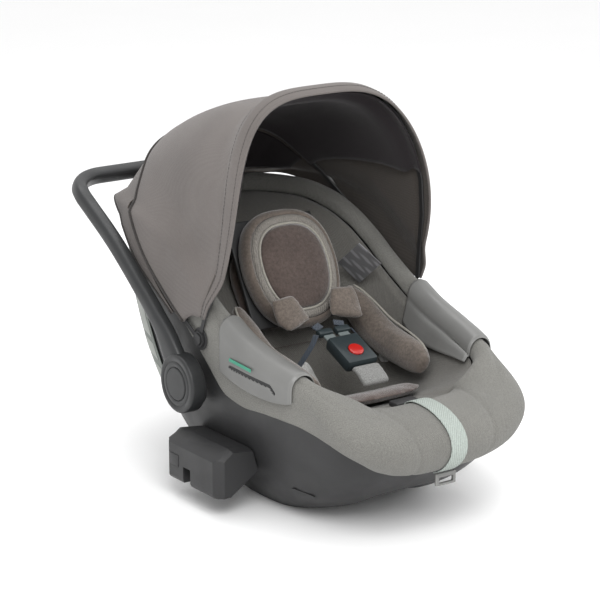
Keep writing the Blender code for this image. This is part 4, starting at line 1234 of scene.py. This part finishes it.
def put(ob, body, slot, *nodes):
    """Rides on a body and stands for the named nodes; its slot is not used."""
    if body:
        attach(ob, body)
    if nodes:
        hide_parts(*nodes)
    return ob


def build_bucket(looks):
    put(shell_piece(looks["shell"]), "carrier", "black_plastic", "shell")
    rim = put(rim_piece(looks["cover"]), "carrier", "cover_fabric", "rim_cover")
    lining = put(lining_piece(looks["lining"]), "carrier", "cover_fabric", "seat_lining")
    put(handle_piece(looks["handle"]), "handle", "handle_plastic", "handle")
    for s, side in SIDES:
        put(hub_piece(s, looks["handle"]), "handle", "handle_plastic")
        # the shell plastic also gives the belt slot its painted shade
        guide = guide_piece(s, looks["guide"], looks["shell"])
        put(guide, "carrier", "satin_grey_plastic", "belt_guide_" + side)
        base, patches = plate_pieces(s, looks["plate"], looks["patch"])
        put(base, "carrier", "label_plate", "side_plate_" + side)
        for p in patches:
            put(p, "carrier", "label_plate")
    return rim


def build_canopy(looks):
    cloth = put(canopy_cloth_piece(looks), None, "canopy_fabric", "canopy_cloth")
    panel = put(canopy_panel_piece(looks["panel"]), None, "canopy_fabric")
    rear_cord = canopy_cord("canopy_rear_piping", REAR_EDGE + .5, .0009, .0021, looks["dark_piping"])
    edge = canopy_cord("canopy_front_piping", FRONT_EDGE, -.0010, .0019, looks["canopy"])
    seams = [[canopy_point(a, p, .0002) for p in across(900)] for a in (1.1, 4.9)]
    threads = [stitches(f"band_stitches_{i}", seam, looks["thread"]) for i, seam in enumerate(seams)]
    for p in (edge, *threads):
        put(p, "canopy_front", "canopy_fabric")
    put(rear_cord, "carrier", "canopy_fabric")
    for p in (cloth, panel):
        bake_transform(p)
    rear, rear_lining, rear_hem = rear_pieces(looks)
    put(rear, "carrier", "canopy_fabric", "canopy_rear_cloth")
    put(rear_lining, "carrier", "canopy_fabric")
    put(rear_hem, "carrier", "canopy_fabric")


def build_head_pad(looks):
    cushion, ring, mesh, back = head_pad_pieces(looks)
    put(back, "headrest", "insert_fabric", "head_pad")
    put(cushion, "headrest", "insert_fabric")
    put(ring, "headrest", "cover_fabric")
    put(mesh, "headrest", "cover_fabric")


def build_insert(looks):
    """Cushions and pads: each with its node and how far the stuffing may move it."""
    seat = surface_cushion("insert_seat_plush", (0, -.126), (.080, .075), .0105, seat_z,
                           looks["velvet"], .0088)
    spine = surface_cushion("insert_back_plush", (0, .070), (.072, .050), .052, seat_z,
                            looks["velvet"], .0118, lid=lambda x, y: board_z(y, .0612))
    pads = [(seat, .003, "insert_seat"), (spine, .0015, "insert_back")]
    trims = []
    for s, side in SIDES:
        pad, trim = bolster_pieces(s, looks)
        pads.append((pad, .0035, "bolster_" + side))
        pads.append((shoulder_pad_piece(s, looks["bolster"]), .0022, "shoulder_pad_" + side))
        trims.append(trim)
    route = [BUCKLE - BUCKLE_ALONG * .0305, (0, -.147, .1900), (0, -.158, .1825), (0, -.168, .1750)]
    crotch = strip_piece("crotch_pad_soft", route, .0240, .0045, looks["pale_pad"])
    pads.append((crotch, .0015, "crotch_pad"))
    stuff([(ob, cap) for ob, cap, _ in pads])
    for ob, _, node in pads:
        refine(ob)
        put(ob, "carrier", "cover_fabric" if node == "crotch_pad" else "insert_fabric", node)
    for trim in trims:
        put(trim, "carrier", "cover_fabric")


def build_harness(looks):
    for s, side in SIDES:
        a = Vector((s * .0205, -.0480, .2345))
        b = BUCKLE + BUCKLE_ALONG * .0570 + Vector((s * .0165, 0, 0))
        belt = strip_piece("shoulder_webbing_" + side, [a, a.lerp(b, .5), b], .0080, .0010, looks["web"])
        put(belt, "carrier", "webbing", "shoulder_strap_" + side)
        route = [BUCKLE + BUCKLE_ALONG * .0470 + Vector((s * .0305, 0, 0)), (s * .041, -.0690, .2120),
                 (s * .053, -.0660, .1940), (s * .062, -.0570, .1740)]
        lap = strip_piece("lap_webbing_" + side, route, .0045, .0010, looks["web"], side=(0, 1, .3))
        put(lap, "carrier", "webbing", "lap_strap_" + side)
    put(pull_strap_piece(looks["strap"]), "carrier", "pull_strap", "pull_strap")


def build(looks):
    rim = build_bucket(looks)
    build_canopy(looks)
    build_head_pad(looks)
    build_insert(looks)
    build_harness(looks)
    for key, names in CARRIED.items():
        for name in names:
            for side in ("left", "right") if "*" in name else ("",):
                dress_node(NODES[name.replace("*", side)], looks[key], EDGE_WIDTH.get(name, .0005))


bpy.context.scene.view_settings.view_transform = "Standard"
camera()
studio()
build(all_materials())
